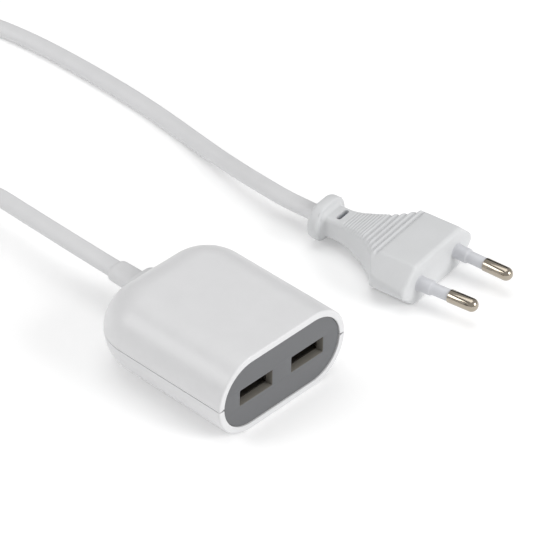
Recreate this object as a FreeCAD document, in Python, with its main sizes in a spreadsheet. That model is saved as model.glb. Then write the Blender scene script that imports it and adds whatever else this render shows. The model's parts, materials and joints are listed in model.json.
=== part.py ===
"""Two-port USB wall charger: a desk-top casing on a flat two-core cord that ends in a flat two-pin mains plug.

Millimetres. The origin is the middle of the casing's footprint on the floor: +X runs across the casing,
the port panel faces -Y and +Z is up.
"""
import FreeCAD, Part
import math
import os
import Sketcher
from FreeCAD import Placement, Rotation, Vector

doc = FreeCAD.newDocument("usb_wall_charger")
sheet = doc.addObject("Spreadsheet::Sheet", "Sizes")
subparts = []

# ---------------------------------------------------------------- driving dimensions
DIMENSIONS = {
    # casing: a stadium-shaped tube whose back is rounded like its sides
    "casing_width": 49.0,
    "casing_height": 25.0,
    "casing_depth": 52.6,
    "corner_radius": 15.0,
    "wall": 2.0,
    "seam_gap": 0.26,
    "lip_height": 1.2,
    "lip_wall": 0.95,
    "fit_gap": 0.06,
    # port panel
    "panel_recess": 0.4,
    "panel_depth": 2.5,
    "tongue_start": 2.0,
    "tongue_depth": 1.0,
    "tongue_reach": 0.8,
    "port_pitch": 19.9,
    "port_width": 12.5,
    "port_height": 5.2,
    # USB receptacle
    "shell_sheet": 0.3,
    "shell_inside_width": 12.2,
    "shell_inside_height": 4.85,
    "shell_length": 13.0,
    "tongue_width": 11.1,
    "tongue_thickness": 1.85,
    "tongue_drop": 0.75,
    "tongue_setback": 1.6,
    "insulator_block": 3.2,
    "contact_width": 1.0,
    "contact_sheet": 0.25,
    # circuit board
    "board_width": 41.0,
    "board_front": 4.8,
    "board_back": 45.0,
    "board_round": 9.0,
    "board_top": 9.7,
    "board_sheet": 1.6,
    "peg_radius": 1.0,
    "post_radius": 1.8,
    "post_across": 18.6,
    "post_front": 8.2,
    "post_back": 36.6,
    # cord and its bushing
    "cord_width": 5.8,
    "cord_thickness": 3.6,
    "bushing_width": 7.6,
    "bushing_height": 5.2,
    "bushing_reach": 11.0,
    "boss_width": 13.0,
    "boss_height": 8.6,
    "boss_rise": 0.9,
    # flat two-pin plug
    "face_width": 35.4,
    "face_flat": 23.0,
    "plug_thickness": 13.7,
    "plug_length": 41.0,
    "shoulder": 11.8,
    "ramp_start": 12.6,
    "neck_start": 31.0,
    "neck_width": 8.6,
    "neck_thickness": 7.0,
    "flange_width": 15.0,
    "flange_height": 12.0,
    "flange_sheet": 3.4,
    "pin_spacing": 18.6,
    "pin_spacing_tip": 17.5,
    "pin_length": 19.0,
    "pin_radius": 2.0,
    "pin_neck_radius": 1.5,
    "pin_metal": 9.0,
    "pin_root": 8.0,
    "pin_root_radius": 2.3,
    "sleeve_radius": 1.8,
    "collar_radius": 2.2,
    "collar_length": 4.2,
}


class Size:
    """A length that knows both its value and the spreadsheet formula that it comes from."""

    def __init__(self, value, formula=None):
        self.value = float(value)
        self.formula = formula or repr(round(float(value), 6))

    def _join(self, sign, other, value):
        return Size(value, f"({self.formula} {sign} {other.formula})")

    def __add__(self, other):
        other = as_size(other)
        return self._join("+", other, self.value + other.value)

    def __sub__(self, other):
        other = as_size(other)
        return self._join("-", other, self.value - other.value)

    def __mul__(self, other):
        other = as_size(other)
        return self._join("*", other, self.value * other.value)

    def __truediv__(self, other):
        other = as_size(other)
        return self._join("/", other, self.value / other.value)

    def __neg__(self):
        return Size(-self.value, f"(0 - {self.formula})")

    def __radd__(self, other):
        return as_size(other) + self

    def __rsub__(self, other):
        return as_size(other) - self


def as_size(value):
    return value if isinstance(value, Size) else Size(value)


for row, (alias, value) in enumerate(DIMENSIONS.items(), start=1):
    sheet.set(f"A{row}", alias)
    sheet.set(f"B{row}", str(value))
    sheet.setAlias(f"B{row}", alias)
doc.recompute()


class Sizes:
    """Reads a dimension as an attribute: size.wall is the sheet's cell with that alias."""

    def __getattr__(self, alias):
        return Size(DIMENSIONS[alias], f"Sizes.{alias}")


size = Sizes()


# ---------------------------------------------------------------- helpers: binding, bodies and sketches
def drive(thing, prop, value):
    """Binds a property to the sheet."""
    thing.setExpression(prop, as_size(value).formula)


# The casing's pieces are drawn with the front rim at Y = 0; this placement puts the origin under their middle.
HALF_FOOTPRINT = (DIMENSIONS["casing_depth"] + DIMENSIONS["boss_rise"]) / 2
CASING_PLACE = Placement(Vector(0, -HALF_FOOTPRINT, 0), Rotation())


def keep(thing, name, placement=CASING_PLACE):
    """Registers a finished sub-part under the name of its file, at its place in the object."""
    thing.Label = name
    thing.Placement = placement
    subparts.append(thing)
    return thing


def new_body(name):
    return doc.addObject("PartDesign::Body", name)


def sketch_on(body, role, name, along=0, shift=(0, 0)):
    """A sketch on one of the body's origin planes, moved along the plane's normal and within the plane."""
    sketch = body.newObject("Sketcher::SketchObject", name)
    plane = next(f for f in body.Origin.OriginFeatures if f.Role == role)
    sketch.AttachmentSupport = [(plane, "")]
    sketch.MapMode = "FlatFace"
    drive(sketch, "AttachmentOffset.Base.x", shift[0])
    drive(sketch, "AttachmentOffset.Base.y", shift[1])
    drive(sketch, "AttachmentOffset.Base.z", along)
    return sketch


def pin_point(sketch, index, corner, across, up):
    """Holds one point of a sketch's element at sheet-driven coordinates."""
    for kind, value in (("DistanceX", across), ("DistanceY", up)):
        value = as_size(value)
        number = sketch.addConstraint(Sketcher.Constraint(kind, -1, 1, index, corner, value.value))
        drive(sketch, f"Constraints[{number}]", value)


def polygon(sketch, points):
    """A closed outline of straight lines through sheet-driven points."""
    first = sketch.GeometryCount
    spots = [Vector(as_size(x).value, as_size(y).value, 0) for x, y in points]
    count = len(spots)
    for i, spot in enumerate(spots):
        sketch.addGeometry(Part.LineSegment(spot, spots[(i + 1) % count]), False)
    for i, (x, y) in enumerate(points):
        sketch.addConstraint(Sketcher.Constraint("Coincident", first + i, 2, first + (i + 1) % count, 1))
        pin_point(sketch, first + i, 1, x, y)


def rectangle(sketch, left, right, low, high):
    polygon(sketch, [(left, low), (right, low), (right, high), (left, high)])


def circle(sketch, across, up, radius):
    radius = as_size(radius)
    centre = Vector(as_size(across).value, as_size(up).value, 0)
    index = sketch.addGeometry(Part.Circle(centre, Vector(0, 0, 1), radius.value), False)
    pin_point(sketch, index, 3, across, up)
    number = sketch.addConstraint(Sketcher.Constraint("Radius", index, radius.value))
    drive(sketch, f"Constraints[{number}]", radius)


def arc_geometry(centre, radius, start, end):
    whole = Part.Circle(Vector(centre[0], centre[1], 0), Vector(0, 0, 1), radius)
    return Part.ArcOfCircle(whole, math.radians(start), math.radians(end))


def tangent(sketch, joints):
    for a, a_end, b, b_end in joints:
        sketch.addConstraint(Sketcher.Constraint("Tangent", a, a_end, b, b_end))


def bind_radius(sketch, index, radius):
    number = sketch.addConstraint(Sketcher.Constraint("Radius", index, radius.value))
    drive(sketch, f"Constraints[{number}]", radius)


def stadium(sketch, middle, up, half_width, radius):
    """Two half circles and two lines: half_width is to the outside of the half circles."""
    middle, up, half_width, radius = (as_size(v) for v in (middle, up, half_width, radius))
    left = middle - half_width + radius
    right = middle + half_width - radius
    low = up.value - radius.value
    high = up.value + radius.value
    first = sketch.GeometryCount
    sketch.addGeometry(arc_geometry((left.value, up.value), radius.value, 90, 270), False)
    sketch.addGeometry(Part.LineSegment(Vector(left.value, low, 0), Vector(right.value, low, 0)), False)
    sketch.addGeometry(arc_geometry((right.value, up.value), radius.value, -90, 90), False)
    sketch.addGeometry(Part.LineSegment(Vector(right.value, high, 0), Vector(left.value, high, 0)), False)
    a, b, c, d = range(first, first + 4)
    tangent(sketch, [(a, 2, b, 1), (b, 2, c, 1), (c, 2, d, 1), (d, 2, a, 1)])
    pin_point(sketch, a, 3, left, up)
    pin_point(sketch, c, 3, right, up)
    bind_radius(sketch, a, radius)
    sketch.addConstraint(Sketcher.Constraint("Equal", a, c))


def half_stadium(sketch, start, flat, up, radius):
    """The closed half of a stadium: straight from start for the length flat, then a half circle."""
    start, flat, up, radius = (as_size(v) for v in (start, flat, up, radius))
    end = start + flat
    low = up - radius
    high = up + radius
    ends = [(start, low), (end, low), (end, high), (start, high)]
    p = [Vector(x.value, y.value, 0) for x, y in ends]
    first = sketch.GeometryCount
    sketch.addGeometry(Part.LineSegment(p[0], p[1]), False)
    sketch.addGeometry(arc_geometry((end.value, up.value), radius.value, -90, 90), False)
    sketch.addGeometry(Part.LineSegment(p[2], p[3]), False)
    sketch.addGeometry(Part.LineSegment(p[3], p[0]), False)
    a, b, c, d = range(first, first + 4)
    tangent(sketch, [(a, 2, b, 1), (b, 2, c, 1)])
    for one, other in ((c, d), (d, a)):
        sketch.addConstraint(Sketcher.Constraint("Coincident", one, 2, other, 1))
    pin_point(sketch, a, 1, start, low)
    pin_point(sketch, c, 2, start, high)
    pin_point(sketch, b, 3, end, up)
    bind_radius(sketch, b, radius)


def rounded_back(sketch, half_width, front, back, radius):
    """A rectangle in plan with its two back corners rounded."""
    half_width, front, back, radius = (as_size(v) for v in (half_width, front, back, radius))
    w, f, b, r = half_width.value, front.value, back.value, radius.value
    first = sketch.GeometryCount
    sketch.addGeometry(Part.LineSegment(Vector(-w, f, 0), Vector(w, f, 0)), False)
    sketch.addGeometry(Part.LineSegment(Vector(w, f, 0), Vector(w, b - r, 0)), False)
    sketch.addGeometry(arc_geometry((w - r, b - r), r, 0, 90), False)
    sketch.addGeometry(Part.LineSegment(Vector(w - r, b, 0), Vector(r - w, b, 0)), False)
    sketch.addGeometry(arc_geometry((r - w, b - r), r, 90, 180), False)
    sketch.addGeometry(Part.LineSegment(Vector(-w, b - r, 0), Vector(-w, f, 0)), False)
    low, right, arc_right, top, arc_left, left = range(first, first + 6)
    for one, other in ((low, right), (left, low)):
        sketch.addConstraint(Sketcher.Constraint("Coincident", one, 2, other, 1))
    chain = (right, arc_right, top, arc_left, left)
    tangent(sketch, [(one, 2, other, 1) for one, other in zip(chain, chain[1:])])
    pin_point(sketch, low, 1, -half_width, front)
    pin_point(sketch, low, 2, half_width, front)
    pin_point(sketch, arc_right, 3, half_width - radius, back - radius)
    pin_point(sketch, arc_left, 3, radius - half_width, back - radius)
    bind_radius(sketch, arc_right, radius)
    sketch.addConstraint(Sketcher.Constraint("Equal", arc_right, arc_left))


def extrude(body, kind, sketch, length, reverse=False):
    """A Pad or Pocket of one sketch."""
    feature = body.newObject(f"PartDesign::{kind}", sketch.Name + "_" + kind.lower())
    feature.Profile = sketch
    drive(feature, "Length", length)
    feature.Reversed = reverse
    sketch.Visibility = False
    return feature


def turn(body, kind, sketch, axis, angle):
    """A Revolution or Groove of one sketch about one of its own axes."""
    feature = body.newObject(f"PartDesign::{kind}", sketch.Name + "_" + kind.lower())
    feature.Profile = sketch
    feature.ReferenceAxis = (sketch, [axis])
    feature.Angle = angle
    return feature


def block(name, low, high):
    """A Part box between two corners whose coordinates come from the sheet."""
    thing = doc.addObject("Part::Box", name)
    for prop, axis, a, b in zip(("Length", "Width", "Height"), "xyz", low, high):
        drive(thing, prop, as_size(b) - as_size(a))
        drive(thing, f"Placement.Base.{axis}", a)
    return thing


def rod(name, foot, radius, height, turned=None):
    """A Part cylinder that stands on foot, or lies along the direction that it is turned to."""
    thing = doc.addObject("Part::Cylinder", name)
    drive(thing, "Radius", radius)
    drive(thing, "Height", height)
    if turned is not None:
        thing.Placement = Placement(Vector(0, 0, 0), Rotation(Vector(0, 0, 1), turned))
    for axis, value in zip("xyz", foot):
        drive(thing, f"Placement.Base.{axis}", value)
    return thing


def group(name, things, kind="MultiFuse"):
    """Several shapes as one object."""
    joined = doc.addObject(f"Part::{kind}", name)
    joined.Shapes = things
    return joined


def cut(name, base, tools):
    """The base with the tools taken away."""
    result = doc.addObject("Part::Cut", name)
    result.Base = base
    result.Tool = tools[0] if len(tools) == 1 else group(name + "_tools", tools)
    return result


# ---------------------------------------------------------------- casing
MIDDLE = size.casing_height / 2
HALF_WIDTH = size.casing_width / 2
CORNER_ACROSS = HALF_WIDTH - size.corner_radius
CORNER_BACK = size.casing_depth - size.corner_radius
CORNER_FLAT = size.corner_radius - MIDDLE
OVERCUT = Size(1.0)


def casing_form(body, name, inset, hollow):
    """The casing's outer form, or its hollow: a stadium tube closed by a back of the same round section."""
    inset = as_size(inset)
    radius = MIDDLE - inset
    solid, swept = ("Pocket", "Groove") if hollow else ("Pad", "Revolution")
    tube = sketch_on(body, "XZ_Plane", name + "_tube", along=OVERCUT if hollow else 0)
    stadium(tube, 0, MIDDLE, HALF_WIDTH - inset, radius)
    extrude(body, solid, tube, CORNER_BACK + (OVERCUT if hollow else 0), reverse=not hollow)
    for side, label in ((-1, "left"), (1, "right")):
        corner = sketch_on(body, "XZ_Plane", f"{name}_{label}", -CORNER_BACK, (CORNER_ACROSS * side, 0))
        half_stadium(corner, 0, CORNER_FLAT, MIDDLE, radius)
        turn(body, swept, corner, "V_Axis", 180)
    start = CORNER_ACROSS if hollow else -CORNER_ACROSS
    back = sketch_on(body, "YZ_Plane", name + "_back", along=start)
    half_stadium(back, CORNER_BACK, CORNER_FLAT, MIDDLE, radius)
    extrude(body, solid, back, CORNER_ACROSS * 2)


def panel_groove(body, name):
    """The groove behind the rim that holds the panel's edge."""
    sketch = sketch_on(body, "XZ_Plane", name + "_groove", along=-size.tongue_start)
    inset = size.wall - size.tongue_reach
    stadium(sketch, 0, MIDDLE, HALF_WIDTH - inset, MIDDLE - inset)
    extrude(body, "Pocket", sketch, size.tongue_depth)


def cord_boss(body, name):
    """The low oval boss around the cord's bushing, and the hole through it."""
    root = size.casing_depth - size.wall + 0.1
    boss = sketch_on(body, "XZ_Plane", name + "_boss", along=-root)
    stadium(boss, 0, MIDDLE, size.boss_width / 2, size.boss_height / 2)
    extrude(body, "Pad", boss, size.casing_depth + size.boss_rise - root, reverse=True)
    hole = sketch_on(body, "XZ_Plane", name + "_cord_hole", along=-(size.casing_depth - size.wall * 2))
    stadium(hole, 0, MIDDLE, size.bushing_width / 2 + size.fit_gap, size.bushing_height / 2 + size.fit_gap)
    extrude(body, "Pocket", hole, size.wall * 2 + size.boss_rise + OVERCUT)


def trim(body, name, low, high, front=-1.0):
    """Takes away the slice of the casing between two heights, from front to beyond the back."""
    sketch = sketch_on(body, "XZ_Plane", name, along=-as_size(front))
    rectangle(sketch, -size.casing_width, size.casing_width, low, high)
    extrude(body, "Pocket", sketch, size.casing_depth * 2)


LIP_FRONT = size.tongue_start + size.tongue_depth + 0.3
SEAM_LOW = MIDDLE - size.seam_gap / 2
SEAM_HIGH = MIDDLE + size.seam_gap / 2


def upper_shell():
    """Upper half of the casing, with the rebate that takes the lower half's lip."""
    body = new_body("UpperShell")
    casing_form(body, "upper_outer", 0, hollow=False)
    casing_form(body, "upper_inner", size.wall, hollow=True)
    panel_groove(body, "upper")
    cord_boss(body, "upper")
    trim(body, "upper_cut", -OVERCUT, SEAM_HIGH)
    rebate = sketch_on(body, "XY_Plane", "upper_rebate", along=MIDDLE)
    inset = size.wall - size.lip_wall - size.fit_gap
    back = size.casing_depth - inset
    rounded_back(rebate, HALF_WIDTH - inset, LIP_FRONT - 0.2, back, size.corner_radius - inset)
    extrude(body, "Pocket", rebate, size.lip_height + size.fit_gap, reverse=True)
    for side, label in ((-1, "left"), (1, "right")):
        post = sketch_on(body, "XY_Plane", f"upper_post_{label}", along=size.board_top + 0.05)
        circle(post, size.post_across * 0.94 * side, size.post_front + 10.0, size.post_radius * 0.8)
        extrude(body, "Pad", post, 12.4)
    return keep(body, "upper_shell")


def lower_shell():
    """Lower half of the casing, with a lip all round inside the seam and four pegged posts for the board."""
    body = new_body("LowerShell")
    casing_form(body, "lower_outer", 0, hollow=False)
    casing_form(body, "lower_inner", size.wall, hollow=True)
    panel_groove(body, "lower")
    cord_boss(body, "lower")
    trim(body, "lower_cut", MIDDLE + size.lip_height, size.casing_height + OVERCUT)
    front = sketch_on(body, "XY_Plane", "lower_front", along=SEAM_LOW)
    rectangle(front, -size.casing_width, size.casing_width, -OVERCUT, LIP_FRONT)
    extrude(body, "Pocket", front, size.casing_height, reverse=True)
    ring = sketch_on(body, "XY_Plane", "lower_ring", along=SEAM_LOW)
    inset = size.wall - size.lip_wall
    rectangle(ring, -size.casing_width, size.casing_width, -OVERCUT, size.casing_depth + 5)
    rounded_back(ring, HALF_WIDTH - inset, 0, size.casing_depth - inset, size.corner_radius - inset)
    extrude(body, "Pocket", ring, size.casing_height, reverse=True)
    hole = sketch_on(body, "XY_Plane", "lower_lip_gap", along=SEAM_LOW)
    half = size.boss_width / 2
    rectangle(hole, -half, half, size.casing_depth - size.wall * 3, size.casing_depth + 5)
    extrude(body, "Pocket", hole, size.casing_height, reverse=True)
    board_low = size.board_top - size.board_sheet
    for y, pair in ((size.post_front, "front"), (size.post_back, "back")):
        for side, label in ((-1, "left"), (1, "right")):
            post = sketch_on(body, "XY_Plane", f"lower_post_{pair}_{label}", along=3.3)
            circle(post, size.post_across * side, y, size.post_radius)
            extrude(body, "Pad", post, board_low - 3.3)
            peg = sketch_on(body, "XY_Plane", f"lower_peg_{pair}_{label}", along=board_low - 0.5)
            circle(peg, size.post_across * side, y, size.peg_radius)
            extrude(body, "Pad", peg, size.board_sheet + 0.9)
    return keep(body, "lower_shell")


def front_panel():
    """Port panel: a stadium plate held by a tongue round its edge, with one opening for each port."""
    body = new_body("FrontPanel")
    plate = sketch_on(body, "XZ_Plane", "panel_plate", along=-size.panel_recess)
    inset = size.wall + size.fit_gap
    stadium(plate, 0, MIDDLE, HALF_WIDTH - inset, MIDDLE - inset)
    extrude(body, "Pad", plate, size.panel_depth, reverse=True)
    edge = sketch_on(body, "XZ_Plane", "panel_edge", along=-(size.tongue_start + size.fit_gap))
    inset = size.wall - size.tongue_reach + size.fit_gap
    stadium(edge, 0, MIDDLE, HALF_WIDTH - inset, MIDDLE - inset)
    extrude(body, "Pad", edge, size.panel_recess + size.panel_depth - size.tongue_start - size.fit_gap, reverse=True)
    for side, label in ((-1, "left"), (1, "right")):
        port = sketch_on(body, "XZ_Plane", f"panel_port_{label}", along=OVERCUT)
        centre = size.port_pitch * 0.5 * side
        half = size.port_width / 2
        up = size.port_height / 2
        rectangle(port, centre - half, centre + half, MIDDLE - up, MIDDLE + up)
        extrude(body, "Pocket", port, size.casing_depth / 2)
    return keep(body, "front_panel")


# ---------------------------------------------------------------- USB receptacles
SHELL_FRONT = size.panel_recess + size.panel_depth + 0.05
SHELL_BACK = SHELL_FRONT + size.shell_length
INSIDE_TOP = MIDDLE + size.shell_inside_height / 2
TONGUE_TOP = INSIDE_TOP - size.tongue_drop
TONGUE_LOW = TONGUE_TOP - size.tongue_thickness
BLOCK_FRONT = SHELL_BACK - size.insulator_block
LEG_SPOTS = (4.0, 10.5)
LEG_WIDTH = 1.6
LEG_DEPTH = 7.0
CONTACT_PLACES = (-3.5, -1.0, 1.0, 3.5)
CONTACT_LEG = SHELL_BACK + 0.5


def usb_shell(side, label):
    """Folded steel shell of one receptacle, with four solder legs that pass through the board."""
    body = new_body(f"UsbShell_{label}")
    centre = size.port_pitch * 0.5 * side
    half_in = size.shell_inside_width / 2
    half_out = half_in + size.shell_sheet
    up_in = size.shell_inside_height / 2
    up_out = up_in + size.shell_sheet
    tube = sketch_on(body, "XZ_Plane", f"usb_tube_{label}", along=-SHELL_FRONT)
    rectangle(tube, centre - half_out, centre + half_out, MIDDLE - up_out, MIDDLE + up_out)
    rectangle(tube, centre - half_in, centre + half_in, MIDDLE - up_in, MIDDLE + up_in)
    extrude(body, "Pad", tube, size.shell_length, reverse=True)
    for start_x, name in ((centre - half_out, "outer"), (centre + half_out - size.shell_sheet, "inner")):
        legs = sketch_on(body, "YZ_Plane", f"usb_legs_{label}_{name}", along=start_x)
        for start in LEG_SPOTS:
            low = SHELL_FRONT + start
            rectangle(legs, low, low + LEG_WIDTH, LEG_DEPTH, MIDDLE)
        extrude(body, "Pad", legs, size.shell_sheet)
    return keep(body, f"usb_shell_{label}")


def usb_insulator(side, label):
    """Insulator of one receptacle: a block across the back and the tongue that carries the contacts."""
    centre = size.port_pitch * 0.5 * side
    gap = size.fit_gap / 2
    half = size.shell_inside_width / 2 - gap
    up = size.shell_inside_height / 2 - gap
    rear = block(f"InsulatorBlock_{label}", (centre - half, BLOCK_FRONT, MIDDLE - up),
                 (centre + half, SHELL_BACK, MIDDLE + up))
    half = size.tongue_width / 2
    tongue = block(f"InsulatorTongue_{label}", (centre - half, SHELL_FRONT + size.tongue_setback, TONGUE_LOW),
                   (centre + half, BLOCK_FRONT + 0.5, TONGUE_TOP))
    slots = []
    for i, place in enumerate(CONTACT_PLACES):
        x = centre + place
        wide = size.contact_width / 2 + gap
        low = TONGUE_LOW - size.contact_sheet - gap
        slots.append(block(f"ContactSlot_{label}_{i}", (x - wide, BLOCK_FRONT - 1, low),
                           (x + wide, SHELL_BACK + 1, TONGUE_LOW)))
    whole = group(f"Insulator_{label}", [rear, tongue])
    return keep(cut(f"UsbInsulator_{label}", whole, slots), f"usb_insulator_{label}")


def usb_contacts(side, label):
    """Four contact strips under the tongue; each turns down behind the block and through the board."""
    centre = size.port_pitch * 0.5 * side
    pieces = []
    for i, place in enumerate(CONTACT_PLACES):
        x = centre + place
        half = size.contact_width / 2
        top = TONGUE_LOW
        low = top - size.contact_sheet
        strip = block(f"ContactStrip_{label}_{i}", (x - half, SHELL_FRONT + size.tongue_setback + 0.6, low),
                      (x + half, CONTACT_LEG + size.contact_sheet, top))
        leg = block(f"ContactLeg_{label}_{i}", (x - half * 0.6, CONTACT_LEG, LEG_DEPTH),
                    (x + half * 0.6, CONTACT_LEG + size.contact_sheet, top))
        pieces += [strip, leg]
    return keep(group(f"UsbContacts_{label}", pieces), f"usb_contacts_{label}")


# ---------------------------------------------------------------- circuit board and what stands on it
def circuit_board():
    """Board with rounded back corners, peg holes, and slots for the receptacles' legs."""
    body = new_body("CircuitBoard")
    plate = sketch_on(body, "XY_Plane", "board_plate", along=size.board_top - size.board_sheet)
    rounded_back(plate, size.board_width / 2, size.board_front, size.board_back, size.board_round)
    extrude(body, "Pad", plate, size.board_sheet)
    holes = sketch_on(body, "XY_Plane", "board_holes", along=size.board_top + OVERCUT)
    for side in (-1, 1):
        for y in (size.post_front, size.post_back):
            circle(holes, size.post_across * side, y, size.peg_radius + 0.1)
        centre = size.port_pitch * 0.5 * side
        half_out = size.shell_inside_width / 2 + size.shell_sheet / 2
        for end in (-1, 1):
            x = centre + half_out * end
            for start in LEG_SPOTS:
                low = SHELL_FRONT + start
                rectangle(holes, x - 0.35, x + 0.35, low - 0.2, low + LEG_WIDTH + 0.2)
        for place in CONTACT_PLACES:
            x = centre + place
            rectangle(holes, x - 0.5, x + 0.5, CONTACT_LEG - 0.2, CONTACT_LEG + size.contact_sheet + 0.2)
    extrude(body, "Pocket", holes, size.board_sheet + OVERCUT * 2)
    return keep(body, "circuit_board")


SEAT = size.board_top + 0.02
CORE_X, CORE_Y = 0.0, 28.0
CORE_DEPTH = 6.0
CORE_HALF = 6.7
CORE_BACK = 2.4
CORE_LEG = 2.2
CORE_CENTRE = 1.7
CORE_LOW = SEAT + 1.6
CORE_HEIGHT = 11.0


def transformer():
    """Flyback transformer: two ferrite E halves through a bobbin that holds the winding and its tape."""
    middle = CORE_LOW + CORE_HEIGHT / 2
    half_depth = CORE_DEPTH / 2
    core_top = CORE_LOW + CORE_HEIGHT
    halves = (("lower", CORE_LOW, middle - 0.02, False), ("upper", middle + 0.02, core_top, True))
    for name, low, high, hangs in halves:
        bar = (high - CORE_BACK, high) if hangs else (low, low + CORE_BACK)
        parts = [block(f"CoreBack_{name}", (CORE_X - half_depth, CORE_Y - CORE_HALF, bar[0]),
                       (CORE_X + half_depth, CORE_Y + CORE_HALF, bar[1]))]
        legs = ((-CORE_HALF, CORE_LEG - CORE_HALF), (-CORE_CENTRE, CORE_CENTRE), (CORE_HALF - CORE_LEG, CORE_HALF))
        for i, (a, b) in enumerate(legs):
            parts.append(block(f"CoreLeg_{name}_{i}", (CORE_X - half_depth, CORE_Y + a, low),
                               (CORE_X + half_depth, CORE_Y + b, high)))
        keep(group(f"TransformerCore_{name}", parts), f"transformer_core_{name}")
    gap = 0.05
    flange_sheet = 0.6
    tube = (half_depth + 0.7, CORE_CENTRE + 0.6)
    reach = (half_depth + 2.6, CORE_HALF - CORE_LEG - 0.15)
    sheet_low = CORE_LOW + CORE_BACK + gap
    sheet_high = core_top - CORE_BACK - gap

    def centred(name, half, low, high):
        return block(name, (-half[0], CORE_Y - half[1], low), (half[0], CORE_Y + half[1], high))

    bobbin = [
        centred("BobbinTube", tube, sheet_low, sheet_high),
        centred("BobbinFlangeLow", reach, sheet_low, sheet_low + flange_sheet),
        centred("BobbinFlangeTop", reach, sheet_high - flange_sheet, sheet_high),
    ]
    for side in (-1, 1):
        a, b = sorted((side * (half_depth + 0.2), side * reach[0]))
        foot_low = (a, CORE_Y - reach[1], SEAT)
        bobbin.append(block(f"BobbinFoot_{side + 1}", foot_low, (b, CORE_Y + reach[1], sheet_low + 0.1)))
    hollow = centred("BobbinHole", (half_depth + gap, CORE_CENTRE + gap), CORE_LOW - 1, core_top + 1)
    keep(cut("TransformerBobbin", group("BobbinWhole", bobbin), [hollow]), "transformer_bobbin")

    def ring(name, label, inside, outside, low, high):
        outer = centred(name + "Outer", outside, low, high)
        keep(cut(name, outer, [centred(name + "Hole", inside, low - 1, high + 1)]), label)

    wound = (tube[0] + 1.4, tube[1] + 1.5)
    taped = (wound[0] + 0.2, wound[1] + 0.2)
    low = sheet_low + 0.65
    high = sheet_high - 0.65
    ring("TransformerWinding", "transformer_winding", (tube[0] + 0.02, tube[1] + 0.02), wound, low, high)
    ring("TransformerTape", "transformer_tape", (wound[0] + 0.02, wound[1] + 0.02), taped, low + 0.3, high - 0.3)


CANS = (
    # name, x, y, radius, height
    ("input_capacitor_front", -14.0, 24.0, 4.0, 10.4),
    ("input_capacitor_back", -14.0, 32.9, 4.0, 10.4),
    ("output_capacitor_front", 13.4, 23.4, 3.15, 11.0),
    ("output_capacitor_back", 13.4, 30.6, 3.15, 11.0),
)


def capacitors():
    """Electrolytic cans: a stepped body on a rubber-sealed foot."""
    for name, x, y, radius, height in CANS:
        foot = rod(name.title().replace("_", "") + "Foot", (x, y, SEAT), radius - 0.35, 1.2)
        can = rod(name.title().replace("_", "") + "Can", (x, y, SEAT + 1.0), radius, height - 1.0)
        keep(group(name.title().replace("_", ""), [foot, can]), name)


CHIPS = (
    # name, x, y, length in x, length in y, height, 1 on top of the board or -1 under it
    ("bridge_rectifier", -14.6, 39.4, 4.6, 3.8, 2.5, 1),
    ("optocoupler", -2.8, 37.6, 6.4, 4.4, 3.5, 1),
    ("output_diode", 13.0, 37.4, 4.6, 4.0, 2.3, 1),
    ("controller_chip", -1.0, 28.0, 5.0, 4.0, 1.6, -1),
    ("port_chip", 9.9, 20.4, 3.0, 2.8, 1.2, -1),
)


LEAD = 0.3


def chips():
    """Moulded parts with legs: a plain body and a row of bent leads on two sides."""
    for name, x, y, long_x, long_y, height, face in CHIPS:
        surface = SEAT if face > 0 else size.board_top - size.board_sheet - 0.02
        lift = 0.15
        low = surface + lift if face > 0 else surface - lift - height
        label = name.title().replace("_", "")
        half_x, half_y = long_x / 2, long_y / 2
        pieces = [block(label + "Body", (x - half_x, y - half_y, low), (x + half_x, y + half_y, low + height))]
        foot = (surface, surface + LEAD) if face > 0 else (surface - LEAD, surface)
        for side in (-1, 1):
            for k in (-1, 1):
                a, b = sorted((side * (half_x - LEAD), side * (half_x + 0.7)))
                mid = y + k * half_y / 2
                name_of_lead = f"{label}Lead_{side + 1}_{k + 1}"
                pieces.append(block(name_of_lead, (x + a, mid - LEAD, foot[0]), (x + b, mid + LEAD, foot[1])))
        keep(group(label, pieces), name)


def loose_parts():
    """Fusible resistor, choke and safety capacitor by the mains end of the board."""
    across = Vector(1, 0, 0)
    resistor = rod("ResistorBody", (-12.0, 42.3, SEAT + 1.7), 1.6, 8.0, across)
    caps = [rod(f"ResistorCap_{i}", (x, 42.3, SEAT + 1.7), 1.7, 1.4, across) for i, x in enumerate((-12.0, -5.4))]
    keep(group("FusibleResistor", [resistor] + caps), "fusible_resistor")
    flange_low = rod("ChokeFlangeLow", (6.4, 42.0, SEAT), 2.6, 1.0)
    drum = rod("ChokeDrum", (6.4, 42.0, SEAT + 0.9), 2.1, 5.2)
    flange_top = rod("ChokeFlangeTop", (6.4, 42.0, SEAT + 6.0), 2.6, 1.0)
    keep(group("InputChoke", [flange_low, drum, flange_top]), "input_choke")
    disc = rod("SafetyDisc", (6.4, 38.6, SEAT + 4.2), 3.4, 3.2, Vector(0, -1, 0))
    stem = block("SafetyStem", (4.6, 36.0, SEAT), (8.2, 38.0, SEAT + 2.0))
    keep(group("SafetyCapacitor", [disc, stem]), "safety_capacitor")


def surface_parts():
    """Chip resistors and capacitors under the board, one group of separate solids."""
    low = size.board_top - size.board_sheet - 0.62
    chips_under = []
    for i in range(8):
        x = -11.0 + 3.1 * i
        y = 36.0 if i % 2 else 22.4
        chips_under.append(block(f"SurfacePart_{i}", (x - 1.0, y - 0.6, low), (x + 1.0, y + 0.6, low + 0.6)))
    keep(group("SurfaceParts", chips_under), "surface_parts")


# ---------------------------------------------------------------- cord bushing and the cores inside the casing
BUSHING_INNER = size.casing_depth - size.wall - 3.1
BUSHING_END = size.casing_depth + size.bushing_reach
CORE_RADIUS = 1.1
CORE_ACROSS = 1.35
PAD_Y = 43.6


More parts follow.
